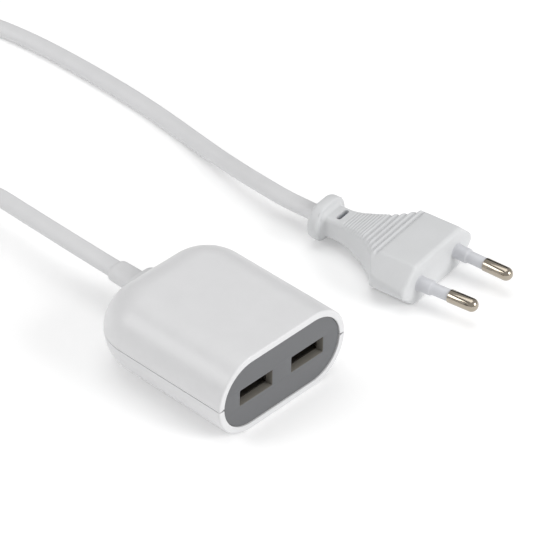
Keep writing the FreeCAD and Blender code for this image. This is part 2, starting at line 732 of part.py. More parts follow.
def cord_bushing():
    """Moulded bushing on the cord: a flange behind the casing's wall and a short oval sleeve outside."""
    body = new_body("CordBushing")
    flange = sketch_on(body, "XZ_Plane", "bushing_flange", along=-BUSHING_INNER)
    stadium(flange, 0, MIDDLE, size.boss_width * 0.44, size.boss_height * 0.44)
    extrude(body, "Pad", flange, 2.0, reverse=True)
    sleeve = sketch_on(body, "XZ_Plane", "bushing_sleeve", along=-(BUSHING_INNER + 1.0))
    stadium(sleeve, 0, MIDDLE, size.bushing_width / 2, size.bushing_height / 2)
    extrude(body, "Pad", sleeve, BUSHING_END - BUSHING_INNER - 1.0, reverse=True)
    doc.recompute()
    end = [f"Edge{i + 1}" for i, edge in enumerate(body.Shape.Edges)
           if min(v.Point.y for v in edge.Vertexes) > BUSHING_END.value - 0.01]
    sleeve_pad = body.Tip
    soft = body.newObject("PartDesign::Fillet", "bushing_soft_end")
    soft.Base = (sleeve_pad, end)
    soft.Radius = 0.6
    return keep(body, "cord_bushing")


def core_wire(side, name):
    """One insulated core from the bushing, bent down on to its pad on the board."""
    body = new_body(name.title().replace("_", ""))
    across = CORE_ACROSS * side
    bend = 1.7
    start = BUSHING_INNER.value - 0.02
    path = sketch_on(body, "YZ_Plane", name + "_path", along=across)
    height = MIDDLE.value
    corner = PAD_Y + bend
    path.addGeometry(Part.LineSegment(Vector(start, height, 0), Vector(corner, height, 0)), False)
    path.addGeometry(arc_geometry((corner, height - bend), bend, 90, 180), False)
    path.addGeometry(Part.LineSegment(Vector(PAD_Y, height - bend, 0), Vector(PAD_Y, SEAT.value, 0)), False)
    section = sketch_on(body, "XZ_Plane", name + "_section", along=-start)
    circle(section, across, MIDDLE, CORE_RADIUS)
    pipe = body.newObject("PartDesign::AdditivePipe", name + "_pipe")
    pipe.Profile = section
    pipe.Spine = path
    return keep(body, name)


# ---------------------------------------------------------------- mains plug, in its own frame
# Its origin is the middle of the engagement face at floor level; the pins point along -Y.
PLUG_PLACE = Placement(Vector(69.6, 5.6 - HALF_FOOTPRINT, 0), Rotation(Vector(0, 0, 1), 7.7))
PIN_HEIGHT = size.plug_thickness / 2
PIN_LEAN = (size.pin_spacing.value - size.pin_spacing_tip.value) / 2
PIN_TILT = math.degrees(math.atan(PIN_LEAN / size.pin_length.value))
RIB_FINE, RIB_FINE_PITCH, RIB_FINE_DEPTH = 9, 1.0, 0.28
RIB_COARSE, RIB_COARSE_PITCH, RIB_COARSE_DEPTH = 5, 1.8, 0.45


def plug_blank():
    """The moulded body before its inserts: flared plan, ramped top and bottom, six-sided nose, neck and flange."""
    body = new_body("PlugBlank")
    half = size.face_width / 2
    neck = size.neck_width / 2
    plan = sketch_on(body, "XY_Plane", "plug_plan")
    side = [(half, 0), (half - 0.9, size.shoulder)]
    run = size.neck_start - size.shoulder
    for along, across in [(0.06, 0.13), (0.2, 0.4), (0.42, 0.68), (0.68, 0.87), (1.0, 1.0)]:
        side.append((half - 0.9 - (half - 0.9 - neck) * across, size.shoulder + run * along))
    side.append((neck, size.plug_length - 1.0))
    outline = side + [(-x, y) for x, y in reversed(side)]
    polygon(plan, outline)
    extrude(body, "Pad", plan, size.plug_thickness)
    drop = (size.plug_thickness - size.neck_thickness) / 2
    for sign, name in ((1, "top"), (-1, "bottom")):
        ramp = sketch_on(body, "YZ_Plane", f"plug_ramp_{name}", along=size.face_width)
        edge = PIN_HEIGHT + PIN_HEIGHT * sign
        neck_edge = edge - drop * sign
        far = edge + OVERCUT * sign
        points = [(size.ramp_start, edge), (size.neck_start, neck_edge), (size.plug_length + 5, neck_edge),
                  (size.plug_length + 5, far), (size.ramp_start, far)]
        polygon(ramp, points)
        extrude(body, "Pocket", ramp, size.face_width * 2)
    corners = sketch_on(body, "XZ_Plane", "plug_facets", along=OVERCUT)
    flat = size.face_flat / 2
    for across in (-1, 1):
        for sign in (-1, 1):
            edge = PIN_HEIGHT + PIN_HEIGHT * sign
            far = edge + OVERCUT * sign
            polygon(corners, [(flat * across, edge), ((half + 0.02) * across, PIN_HEIGHT + 0.9 * sign),
                              ((half + 3) * across, PIN_HEIGHT + 0.9 * sign), ((half + 3) * across, far),
                              (flat * across, far)])
    extrude(body, "Pocket", corners, size.plug_length * 2)
    flange = sketch_on(body, "XZ_Plane", "plug_flange", along=-(size.plug_length - size.flange_sheet))
    stadium(flange, 0, PIN_HEIGHT, size.flange_width / 2, size.flange_height / 2)
    extrude(body, "Pad", flange, size.flange_sheet, reverse=True)
    return body


def plug_grooves():
    """Grooves across the ramped top and bottom: fine ones by the neck, coarse ones by the nose."""
    tools = []
    slope = math.atan2((size.plug_thickness.value - size.neck_thickness.value) / 2,
                       size.neck_start.value - size.ramp_start.value)
    start = size.ramp_start.value + 0.7
    spots = [(start + RIB_COARSE_PITCH * i, RIB_COARSE_DEPTH, 0.8) for i in range(RIB_COARSE)]
    first = spots[-1][0] + RIB_COARSE_PITCH * 0.75
    spots += [(first + RIB_FINE_PITCH * i, RIB_FINE_DEPTH, 0.5) for i in range(RIB_FINE)]
    for sign in (-1, 1):
        for i, (y, depth, wide) in enumerate(spots):
            drop = (y - size.ramp_start.value) * math.tan(slope)
            z = PIN_HEIGHT.value + sign * (PIN_HEIGHT.value - drop)
            tool = doc.addObject("Part::Box", f"Groove_{sign + 1}_{i}")
            tool.Length = size.face_width.value
            tool.Width = wide
            tool.Height = depth * 2
            turned = Rotation(Vector(1, 0, 0), -math.degrees(slope) * sign)
            corner = turned.multVec(Vector(-size.face_width.value / 2, -wide / 2, -depth))
            tool.Placement = Placement(Vector(0, y, z) + corner, turned)
            tools.append(tool)
    slot = block("NeckSlot", (-2.2, 32.2, PIN_HEIGHT + 2.0), (2.2, 33.5, PIN_HEIGHT + 6.0))
    return tools + [slot]


def pin_placement(side):
    """A pin's own frame: origin on the face, axis leaning towards the middle as it leaves the face."""
    lean = Rotation(Vector(0, 0, 1), -PIN_TILT * side)
    return Placement(Vector(size.pin_spacing.value / 2 * side, 0, PIN_HEIGHT.value), lean)


def turned_piece(name, outline):
    """A solid of revolution about its own Y axis: outline lists radius and place along Y."""
    body = new_body(name)
    sketch = sketch_on(body, "XY_Plane", name + "_outline")
    polygon(sketch, outline)
    turn(body, "Revolution", sketch, "V_Axis", 360)
    return body


def plug_pin(side, label):
    """Nickel-plated pin: bare rounded end, thinner under its sleeve, and a thick root in the body."""
    tip = -size.pin_length
    bare = tip + size.pin_metal
    turns = [math.radians(a) for a in range(15, 91, 15)]
    dome = [(size.pin_radius * math.sin(a), tip + size.pin_radius * (1 - math.cos(a))) for a in turns]
    root = size.pin_root_radius
    outline = [(0, tip)] + dome + [(size.pin_radius, bare), (size.pin_neck_radius, bare)]
    outline += [(size.pin_neck_radius, 1.0), (root, 1.0), (root, size.pin_root), (0, size.pin_root)]
    body = turned_piece(f"PlugPin_{label}", outline)
    return keep(body, f"plug_pin_{label}", PLUG_PLACE.multiply(pin_placement(side)))


def pin_sleeve(side, label):
    """Insulating sleeve on the root half of a pin, with a thicker collar next to the face."""
    front = -(size.pin_length - size.pin_metal) + 0.02
    inner = size.pin_neck_radius + 0.02
    outline = [(inner, front), (size.sleeve_radius, front), (size.sleeve_radius, -size.collar_length),
               (size.collar_radius, -size.collar_length), (size.collar_radius, 0.8), (inner, 0.8)]
    body = turned_piece(f"PinSleeve_{label}", outline)
    return keep(body, f"pin_sleeve_{label}", PLUG_PLACE.multiply(pin_placement(side)))


CARRIER_FRONT, CARRIER_BACK = 1.4, 6.4
CRIMP_LENGTH = 5.0


def pin_carrier(pins):
    """Rigid insert that holds both pins at their spacing while the body is moulded round them."""
    half = size.pin_spacing / 2 + 3.6
    bar = block("CarrierBar", (-half, CARRIER_FRONT, PIN_HEIGHT - 3.4), (half, CARRIER_BACK, PIN_HEIGHT + 3.4))
    for axis in "xyz":
        bar.setExpression(f"Placement.Base.{axis}", None)
    corner = Vector(-half.value, CARRIER_FRONT, PIN_HEIGHT.value - 3.4)
    bar.Placement = PLUG_PLACE.multiply(Placement(corner, Rotation()))
    return keep(cut("PinCarrier", bar, pins), "pin_carrier", Placement())


def plug_crimp(side, label):
    """Crimped sleeve between a pin's root and its conductor."""
    start = size.pin_root + 0.02
    outline = [(0, start), (1.5, start), (1.5, start + CRIMP_LENGTH), (0, start + CRIMP_LENGTH)]
    body = turned_piece(f"PlugCrimp_{label}", outline)
    return keep(body, f"plug_crimp_{label}", PLUG_PLACE.multiply(pin_placement(side)))


def plug_core(side, label):
    """Insulated core inside the plug, from the crimp to the end of the cord."""
    start_y = size.pin_root.value + CRIMP_LENGTH + 0.04
    root = pin_placement(side).multVec(Vector(0, start_y, 0))
    ahead = pin_placement(side).Rotation.multVec(Vector(0, 1, 0))
    end = Vector(CORE_ACROSS * side, size.plug_length.value - 0.02, PIN_HEIGHT.value)
    knots = [root, root + ahead * 5, Vector(CORE_ACROSS * side, 30.0, PIN_HEIGHT.value), end]
    curve = Part.BezierCurve()
    curve.setPoles([knots[0], knots[1], knots[2] - Vector(0, 9, 0), knots[2]])
    spine = Part.Wire([curve.toShape(), Part.makeLine(knots[2], knots[3])])
    ring = Part.Wire([Part.makeCircle(CORE_RADIUS, knots[0], ahead)])
    solid = spine.makePipeShell([ring], True, True)
    feature = doc.addObject("Part::Feature", f"PlugCore_{label}")
    feature.Shape = solid
    return keep(feature, f"plug_core_{label}", PLUG_PLACE)


def plug():
    """All of the plug's pieces, then the body moulded round them."""
    pins = [plug_pin(side, label) for side, label in ((-1, "left"), (1, "right"))]
    sleeves = [pin_sleeve(side, label) for side, label in ((-1, "left"), (1, "right"))]
    carrier = pin_carrier(pins)
    crimps = [plug_crimp(side, label) for side, label in ((-1, "left"), (1, "right"))]
    cores = [plug_core(side, label) for side, label in ((-1, "left"), (1, "right"))]
    shaped = cut("PlugShaped", plug_blank(), plug_grooves())
    shaped.Placement = PLUG_PLACE
    keep(cut("PlugBody", shaped, pins + sleeves + [carrier] + crimps + cores), "plug_body", Placement())


# ---------------------------------------------------------------- cord
CORD_LOW = size.cord_thickness.value / 2
COIL_CENTRE = Vector(-1.0, 164.25, 0)
COIL_MIDDLE = 34.0
COIL_HALF_WIDTH = 9.0
COIL_TOP = 7.6
TIE_SHEET = 0.8
TIE_WIDTH = 8.0
TIE_ANGLE = 200.0

CASING_ROUTE = [
    (0.0, BUSHING_END.value - HALF_FOOTPRINT, 12.5),
    (0.0, 49.2, 12.5),
    (0.3, 63.2, 12.0),
    (-0.6, 77.2, 10.6),
    (-3.0, 91.2, 8.0),
    (-7.6, 104.0, 5.2),
    (-13.6, 115.6, 3.0),
    (-20.8, 126.6, 1.9),
    (-28.4, 138.2, 1.8),
]


def behind_plug(distance):
    """A point on the plug's own axis, so far behind its flange."""
    spot = PLUG_PLACE.multVec(Vector(0, size.plug_length.value + distance, PIN_HEIGHT.value))
    return (spot.x, spot.y, spot.z)


PLUG_ROUTE = [
    (-1.0, 204.0, 5.4),
    (17.0, 204.9, 5.3),
    (34.0, 201.8, 4.2),
    (49.0, 194.2, 2.6),
    (61.0, 182.2, 1.9),
    (68.4, 166.8, 1.8),
    (70.0, 149.2, 1.8),
    (69.4, 131.2, 1.8),
    (68.3, 113.2, 1.8),
    (67.3, 96.2, 1.8),
    (66.0, 80.2, 1.9),
    (65.2, 66.2, 2.6),
    (64.6, 53.8, 4.0),
    (63.6, 41.8, 5.8),
    behind_plug(10.0),
    behind_plug(0.0),
]


def rounded_path(points, name):
    """Straight runs joined by tangent arcs, each arc as large as its two runs allow."""
    spots = [Vector(*p) for p in points]
    edges = []
    start = spots[0]
    radii = []
    for before, corner, after in zip(spots, spots[1:], spots[2:]):
        into = (corner - before).normalize()
        out = (after - corner).normalize()
        half_turn = into.getAngle(out) / 2
        reach = 0.45 * min((corner - before).Length, (after - corner).Length)
        radii.append(reach / math.tan(half_turn))
        a = corner - into * reach
        b = corner + out * reach
        inward = (out - into).normalize()
        middle = corner + inward * (radii[-1] / math.cos(half_turn) - radii[-1])
        edges.append(Part.LineSegment(start, a).toShape())
        edges.append(Part.Arc(a, middle, b).toShape())
        start = b
    edges.append(Part.LineSegment(start, spots[-1]).toShape())
    print(name, "arc radii, mm:", [round(r) for r in radii], "smallest", round(min(radii), 1))
    return Part.Wire(edges)


def flat_section(at, ahead):
    """The cord's stadium section, wide side level, square to the direction ahead."""
    side = ahead.cross(Vector(0, 0, 1)).normalize()
    up = side.cross(ahead).normalize()
    radius = size.cord_thickness.value / 2
    flat = size.cord_width.value / 2 - radius
    right, left = at + side * flat, at - side * flat
    edges = [
        Part.LineSegment(left + up * radius, right + up * radius).toShape(),
        Part.Arc(right + up * radius, right + side * radius, right - up * radius).toShape(),
        Part.LineSegment(right - up * radius, left - up * radius).toShape(),
        Part.Arc(left - up * radius, left - side * radius, left + up * radius).toShape(),
    ]
    return Part.Wire(edges)


def cord_tube(points, name):
    """One stretch of the flat cord as a swept solid."""
    path = rounded_path(points, name)
    first = path.Edges[0]
    ahead = first.tangentAt(first.FirstParameter)
    section = flat_section(Vector(*points[0]), ahead)
    sweep = Part.BRepOffsetAPI.MakePipeShell(path)
    sweep.setBiNormalMode(Vector(0, 0, 1))
    sweep.add(section, False, False)
    sweep.build()
    sweep.makeSolid()
    solid = sweep.shape()
    radius = size.cord_thickness.value / 2
    area = math.pi * radius ** 2 + (size.cord_width.value - 2 * radius) * 2 * radius
    print(name, "length, mm:", round(path.Length, 1), "volume over section times length:",
          round(solid.Volume / (area * path.Length), 4))
    return solid


def cord():
    """The cord from the casing to the coil, the coil and its tie, and the cord from the coil to the plug."""
    low, high = COIL_MIDDLE - COIL_HALF_WIDTH, COIL_MIDDLE + COIL_HALF_WIDTH
    body = new_body("CordCoil")
    ring = sketch_on(body, "XZ_Plane", "coil_ring")
    in_by, up_by = 1.2, 1.8
    polygon(ring, [(low + in_by, 0), (high - in_by, 0), (high, up_by), (high, COIL_TOP - up_by),
                   (high - in_by, COIL_TOP), (low + in_by, COIL_TOP), (low, COIL_TOP - up_by), (low, up_by)])
    turn(body, "Revolution", ring, "V_Axis", 360)
    body.Placement = Placement(COIL_CENTRE, Rotation(Vector(0, 0, 1), TIE_ANGLE))
    place = body.Placement
    half = TIE_WIDTH / 2

    def tie_block(name, inset):
        thing = doc.addObject("Part::Box", name)
        thing.Length = 2 * COIL_HALF_WIDTH + 2 - 2 * inset
        thing.Width = TIE_WIDTH
        thing.Height = COIL_TOP - 2 * inset
        corner = Vector(low - 1 + inset, -half, inset)
        thing.Placement = place.multiply(Placement(corner, Rotation()))
        return thing

    strap = cut("TieStrap", tie_block("TieOuter", 0.0), [tie_block("TieInner", TIE_SHEET)])
    keep(strap, "cord_tie", Placement())
    waist = cut("CoilWaist", tie_block("WaistOuter", -1.0), [tie_block("WaistInner", TIE_SHEET)])
    keep(cut("CordCoilTied", body, [waist]), "cord_coil", Placement())
    doc.recompute()
    span = 60.0
    corner = Vector(-span / 2, size.plug_length.value - span, -span / 2)
    plug_side = Part.makeBox(span, span, span, corner)
    plug_side.Placement = PLUG_PLACE
    coil_side = Part.makeCylinder(high, span, COIL_CENTRE - Vector(0, 0, span / 2))
    for name, points in (("cord_to_casing", CASING_ROUTE), ("cord_to_plug", PLUG_ROUTE)):
        feature = doc.addObject("Part::Feature", name.title().replace("_", ""))
        clear = cord_tube(points, name).cut([coil_side, plug_side])
        feature.Shape = max(clear.Solids, key=lambda solid: solid.Volume)
        keep(feature, name, Placement())


# ---------------------------------------------------------------- the whole object
def build():
    upper_shell()
    lower_shell()
    front_panel()
    for side, label in ((-1, "left"), (1, "right")):
        usb_shell(side, label)
        usb_insulator(side, label)
        usb_contacts(side, label)
    circuit_board()
    transformer()
    capacitors()
    chips()
    loose_parts()
    surface_parts()
    cord_bushing()
    core_wire(-1, "live_core")
    core_wire(1, "neutral_core")
    plug()
    cord()
    doc.recompute()


def check_and_write():
    """Stops on any failed feature or bad solid, then writes one file for each sub-part."""
    failed = [thing.Name for thing in doc.Objects if "Invalid" in thing.State or "Error" in thing.State]
    if failed:
        raise RuntimeError(f"failed features: {failed}")
    os.makedirs("parts", exist_ok=True)
    for thing in subparts:
        shape = thing.Shape
        if shape.isNull() or not shape.isValid() or not shape.Solids:
            raise RuntimeError(f"{thing.Label} has no valid solid")
        shape.exportStep(f"parts/{thing.Label}.step")
        print(f"{thing.Label}: {len(shape.Solids)} solid(s), {shape.Volume:.1f} mm3")
    print(len(subparts), "sub-parts")


build()
check_and_write()
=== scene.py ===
# %% [markdown]
# # A two-port USB mains charger
# A small white casing lies on a desk. It has two USB ports in a grey panel, and a flat cord that
# ends in a flat mains plug with two pins. The engineering model gives every size. This notebook
# gives the charger its looks: soft moulded edges, a cord that lies as a cord does, and the right
# finish on each piece.

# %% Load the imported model
import json
import math

import bmesh
import bpy
from mathutils import Matrix, Vector


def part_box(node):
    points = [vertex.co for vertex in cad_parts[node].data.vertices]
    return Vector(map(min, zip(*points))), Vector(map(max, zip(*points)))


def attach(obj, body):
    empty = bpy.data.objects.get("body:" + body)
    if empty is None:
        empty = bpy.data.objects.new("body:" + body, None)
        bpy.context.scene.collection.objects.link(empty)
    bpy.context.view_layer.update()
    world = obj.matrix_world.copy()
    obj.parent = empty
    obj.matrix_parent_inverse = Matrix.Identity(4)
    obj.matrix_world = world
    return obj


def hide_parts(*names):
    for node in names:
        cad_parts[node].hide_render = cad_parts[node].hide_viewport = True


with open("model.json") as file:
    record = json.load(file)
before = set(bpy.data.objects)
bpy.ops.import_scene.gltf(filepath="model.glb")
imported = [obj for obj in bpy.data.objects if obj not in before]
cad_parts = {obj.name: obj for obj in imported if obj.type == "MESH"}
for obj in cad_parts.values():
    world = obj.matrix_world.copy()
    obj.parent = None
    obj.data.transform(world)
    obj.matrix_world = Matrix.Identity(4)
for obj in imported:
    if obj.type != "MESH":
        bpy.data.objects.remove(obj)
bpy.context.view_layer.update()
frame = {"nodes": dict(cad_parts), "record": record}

MM = 0.001
scene = bpy.context.scene
print("CAD nodes:", len(frame["nodes"]))

# %% [markdown]
# ## Camera
# The charger is seen from its front left, from above. A long lens far away keeps its parallel edges
# nearly parallel, as in a catalogue picture. The camera is placed by its angles round a point
# between casing and plug.

# %% Camera
AZIMUTH, ELEVATION, ROLL = math.radians(-47.25), math.radians(37.75), math.radians(1.15)
TARGET = Vector((29.75, 4.4, 12.0)) * MM
DISTANCE = 1.0
LENS = 235.8
level = math.cos(ELEVATION)
back = Vector((math.sin(AZIMUTH) * level, -math.cos(AZIMUTH) * level, math.sin(ELEVATION)))
right = Vector((math.cos(AZIMUTH), math.sin(AZIMUTH), 0))
up = back.cross(right)
rolled_right = right * math.cos(ROLL) + up * math.sin(ROLL)
rolled_up = up * math.cos(ROLL) - right * math.sin(ROLL)
camera = bpy.data.objects.new("camera", bpy.data.cameras.new("camera"))
camera.data.lens = LENS
camera.data.clip_start, camera.data.clip_end = 0.01, 20
camera.matrix_world = Matrix.Translation(TARGET + back * DISTANCE) @ Matrix(
    (rolled_right, rolled_up, back)).transposed().to_4x4()
scene.collection.objects.link(camera)
scene.camera = camera
print("camera, mm:", [round(v / MM) for v in camera.matrix_world.translation])

# %% [markdown]
# ## Colours and nodes
# Colours are written as the sRGB hex values a designer would pick, and turned to the linear values
# that the renderer works in. Every material is built from one function that adds a node with its
# settings and links.


# %% Colour and node helpers
def colour(text):
    """Linear RGBA of an sRGB hex value such as #D8D8DA."""
    channels = [int(text[i:i + 2], 16) / 255 for i in (1, 3, 5)]
    return tuple(c / 12.92 if c <= 0.04045 else ((c + 0.055) / 1.055) ** 2.4 for c in channels) + (1.0,)


def add(material, kind, settings=None, inputs=None):
    """Adds one node. Inputs are given by name or number: a value, or the output socket of another node."""
    node = material.node_tree.nodes.new("ShaderNode" + kind)
    for key, value in (settings or {}).items():
        setattr(node, key, value)
    for key, value in (inputs or {}).items():
        if isinstance(value, bpy.types.NodeSocket):
            material.node_tree.links.new(value, node.inputs[key])
        else:
            node.inputs[key].default_value = value
    return node


def new_material(name, roughness, metallic=0.0, ior=1.5):
    """A material with its shader, whose plain numbers sit on the shader's own sockets."""
    material = bpy.data.materials.new(name)
    material.use_nodes = True
    shader = material.node_tree.nodes["Principled BSDF"]
    shader.inputs["Roughness"].default_value = roughness
    shader.inputs["Metallic"].default_value = metallic
    shader.inputs["IOR"].default_value = ior
    return material, shader


def link(material, output, socket):
    material.node_tree.links.new(output, socket)


def per_mm(size_mm):
    """The texture scale, in repeats per metre, of a pattern whose features are so many millimetres across."""
    return 1.0 / (size_mm * MM)


# %% [markdown]
# ## Moulded plastics
# Most of the charger is injection moulded. A mould is polished or spark-eroded, and the plastic
# copies that surface: a fine even grain that spreads the highlight. Two layers of noise do this: a
# cloudy one for the slight unevenness of gloss and tint, and a fine one for the grain. Real grain
# is 0.05 to 0.1 mm, too fine to show, so it is drawn about three times coarser.


# %% Moulded plastic
CLOUD_MM = 6.0
CLOUD_LOW, CLOUD_HIGH = 0.3, 0.7
GLOSS_UNEVEN = 0.07


def moulded(name, tint, roughness, grain_mm=0.25, depth_mm=0.004, uneven=0.04, ior=1.5):
    """Moulded plastic: tint, gloss, the size and depth of its grain, and how uneven its tint is."""
    material, shader = new_material(name, roughness, ior=ior)
    place = add(material, "TexCoord").outputs["Object"]
    cloud = add(material, "TexNoise", inputs={"Vector": place, "Scale": per_mm(CLOUD_MM), "Detail": 3.0,
                                              "Roughness": 0.6})
    ramp = add(material, "ValToRGB", inputs={"Fac": cloud.outputs["Fac"]})
    base = Vector(colour(tint)[:3])
    for stop, factor in zip(ramp.color_ramp.elements, (1 - uneven, 1 + uneven)):
        stop.color = (*[min(1.0, c) for c in base * factor], 1.0)
    ramp.color_ramp.elements[0].position = CLOUD_LOW
    ramp.color_ramp.elements[1].position = CLOUD_HIGH
    link(material, ramp.outputs["Color"], shader.inputs["Base Color"])
    gloss = add(material, "MapRange", inputs={
        "Value": cloud.outputs["Fac"], "From Min": CLOUD_LOW, "From Max": CLOUD_HIGH,
        "To Min": roughness * (1 - GLOSS_UNEVEN), "To Max": min(1.0, roughness * (1 + GLOSS_UNEVEN))})
    link(material, gloss.outputs["Result"], shader.inputs["Roughness"])
    grain = add(material, "TexNoise", inputs={"Vector": place, "Scale": per_mm(grain_mm), "Detail": 2.0,
                                              "Roughness": 0.5})
    bump = add(material, "Bump", inputs={"Height": grain.outputs["Fac"], "Distance": depth_mm * MM,
                                         "Strength": 1.0})
    link(material, bump.outputs["Normal"], shader.inputs["Normal"])
    return material


casing_abs = moulded("white_abs_satin_moulded", "#D6D6D7", 0.34, grain_mm=0.3, depth_mm=0.002, uneven=0.012)
plug_pvc = moulded("white_pvc_plug_moulded", "#CECFD0", 0.5, grain_mm=0.45, depth_mm=0.012, uneven=0.015)
cord_pvc = moulded("white_pvc_cord_extruded", "#D3D3D4", 0.46, grain_mm=0.6, depth_mm=0.006, uneven=0.015)
sleeve_pbt = moulded("white_pbt_pin_sleeve", "#C8C9CD", 0.34, grain_mm=0.3, depth_mm=0.002, uneven=0.01)
panel_abs = moulded("grey_abs_spark_eroded", "#656668", 0.62, grain_mm=0.3, depth_mm=0.006, uneven=0.03)

# %% [markdown]
# The grey panel is rough on its face, where the mould was spark-eroded. The walls of its openings
# are painted a little lighter and warmer: painted light that stands in for the light reaching into
# the ports. The direction of each face tells them apart.

# %% Painted light on the walls of the panel's openings
panel_shader = panel_abs.node_tree.nodes["Principled BSDF"]
face_tint = panel_shader.inputs["Base Color"].links[0].from_socket
facing = add(panel_abs, "SeparateXYZ", inputs={0: add(panel_abs, "NewGeometry").outputs["True Normal"]})
# Faces that do not look to the front get the lighter, warmer grey, which is painted light.
painted_light_on_walls = add(panel_abs, "MapRange", inputs={
    "Value": facing.outputs["Y"], "From Min": -0.9, "From Max": -0.3})
# The mix node has sockets of the same name for numbers and colours, so these are taken by number.
FACTOR, FIRST, SECOND, MIXED = 0, 6, 7, 2
face_tint_and_painted_wall_light = add(panel_abs, "Mix", {"data_type": "RGBA"}, {
    FACTOR: painted_light_on_walls.outputs["Result"], FIRST: face_tint, SECOND: colour("#7B7770")})
link(panel_abs, face_tint_and_painted_wall_light.outputs[MIXED], panel_shader.inputs["Base Color"])
print("materials:", len(bpy.data.materials))


# %% [markdown]
# ## Shapes from sections
# Almost every outer piece here can be described by a rounded section that changes along a line: the
# plug's body, its flange, the cord's bushing and the turned pins. A loft through such sections
# gives clean, even faces with no sculpting. Each section has the same number of points, so that
# neighbours join point to point.


# %% Sections and lofts
QUARTER_STEPS = 12
NEAREST, THINNEST = 0.0005, 0.0002


def section(half_width, half_height, radius, facet=None):
    """A rounded section as (across, up) points. facet is a slanted side: its unit normal and distance."""
    flat_across, flat_up = half_width - radius, half_height - radius
    high_corner = low_corner = (flat_across, flat_up)
    facet_angle = 45.0
    if facet is not None:
        normal_across, normal_up, distance = facet
        facet_angle = math.degrees(math.atan2(normal_up, normal_across))
        meets = (distance - radius - normal_up * flat_up) / normal_across
        if meets < flat_across:
            high_corner = (meets, flat_up)
            reach = (distance - radius - normal_across * flat_across) / normal_up
            low_corner = (flat_across, max(0.0, reach))
    quarter = []
    for i in range(QUARTER_STEPS + 1):
        angle = 90.0 * i / QUARTER_STEPS
        corner = low_corner if angle < facet_angle else high_corner
        quarter.append((corner[0] + radius * math.cos(math.radians(angle)),
                        corner[1] + radius * math.sin(math.radians(angle))))
    turned = quarter[::-1]
    half = quarter + [(-x, z) for x, z in turned]
    return half + [(-x, -z) for x, z in half]


def ring(points, along, middle=0.0):
    """A section of millimetres as one ring of a loft that runs along Y."""
    return [Vector((x, along, middle + z)) for x, z in points]


def skin(mesh, rings):
    """Joins rings by faces and closes both ends."""
    rows = [[mesh.verts.new(p * MM) for p in points] for points in rings]
    count = len(rows[0])
    for low, high in zip(rows, rows[1:]):
        for i in range(count):
            j = (i + 1) % count
            mesh.faces.new((low[i], low[j], high[j], high[i]))
    mesh.faces.new(rows[0][::-1])
    mesh.faces.new(rows[-1])


def clean(mesh):
    """Merges doubled points, removes empty faces and makes all faces look outwards."""
    bmesh.ops.remove_doubles(mesh, verts=mesh.verts, dist=NEAREST * MM)
    bmesh.ops.dissolve_degenerate(mesh, edges=mesh.edges, dist=THINNEST * MM)
    bmesh.ops.recalc_face_normals(mesh, faces=mesh.faces)


def piece(name, mesh, material, place=None, sharp=60):
    """Turns a bmesh into an object with smooth faces, put in its place in the model."""
    clean(mesh)
    data = bpy.data.meshes.new(name)
    if place is not None:
        mesh.transform(place)
    mesh.to_mesh(data)
    mesh.free()
    data.materials.append(material)
    data.shade_smooth()
    data.set_sharp_from_angle(angle=math.radians(sharp))
    thing = bpy.data.objects.new(name, data)
    scene.collection.objects.link(thing)
    return thing


def settle(thing, slot, *nodes, body="root"):
    """Rides a piece on its body and hides the CAD nodes it stands for. Its slot, the name of its finish, is
    not used.
    """
    if nodes:
        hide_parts(*nodes)
    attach(thing, body)
    print(thing.name, len(thing.data.polygons) if thing.type == "MESH" else "curve")


# %% [markdown]
# ## The cord
# The cord is a flat two-core mains lead, 5.8 mm wide and 3.6 mm thick and 1.5 m long. It leaves the
# casing half-way up, sinks to the desk, and after a tied coil it comes back to the plug. One smooth
# spline follows the whole of it. The coil's turns are worked out: three side by side on the desk
# and three on top of them. A flat cord lies on its wide side, so the curve's section is an extruded
# round that keeps level.

# %% Where the cord goes
CORD_WIDTH, CORD_THICKNESS = 5.8, 3.6
COIL_CENTRE = Vector((-1.0, 164.25))
LOW_LAYER, HIGH_LAYER = 1.8, 5.42
ROWS = (39.8, 34.0, 28.2)
PLUG_SPOT, PLUG_TURN = Vector((69.6, -21.15, 0)), math.radians(7.7)
PLUG_PLACE = Matrix.Translation(PLUG_SPOT * MM) @ Matrix.Rotation(PLUG_TURN, 4, "Z")
PLUG_LENGTH, PLUG_MIDDLE = 41.0, 6.85
TIE_ANGLE = 200.0

# Points of the two free runs, in millimetres: from the casing to the coil, and from the coil to the plug.
casing_run = [(0.0, 36.85, 12.5), (0.0, 49.2, 12.5), (0.4, 63.2, 12.2), (1.3, 77.2, 11.4), (2.4, 91.2, 10.5),
              (-0.4, 104.8, 7.2), (-8.2, 116.8, 3.8), (-18.4, 126.9, 2.0)]
plug_run = [(17.0, 204.9, 5.5), (34.0, 201.8, 4.2), (49.0, 194.2, 2.6), (61.0, 182.2, 1.9),
            (69.0, 166.8, 1.8), (72.0, 149.2, 1.8), (72.9, 131.2, 1.8), (72.9, 113.2, 1.8),
            (72.2, 96.2, 1.8), (70.4, 80.2, 2.0), (68.0, 66.2, 2.9), (65.7, 53.8, 4.4), (63.8, 41.8, 6.0)]
for behind in (10.0, 0.0):
    plug_run.append(tuple(PLUG_PLACE @ (Vector((0, PLUG_LENGTH + behind, PLUG_MIDDLE)) * MM) / MM))

# %% The coil's turns
TURNS_START, TURNS_TOTAL = 225.0, 1935.0
PER_TURN = 24
# After how many degrees the cord steps one row in (-1) or out (1), and where it climbs to the top layer.
SIDEWAYS = ((250, -1), (610, -1), (1200, 1), (1560, 1))
ROW_STEP = CORD_WIDTH
SIDE_TRAVEL, CLIMB_START, CLIMB_TRAVEL = 100.0, 930.0, 72.0
# At the strap the turns rise to clear its sheet, which lies under them: millimetres, then degrees.
TIE_LIFT, TIE_NEAR, TIE_FADE = 0.7, 6, 24


def eased(value, start, width):
    """0 before start, 1 after start + width, and smooth between."""
    share = min(1.0, max(0.0, (value - start) / width))
    return share * share * (3 - 2 * share)


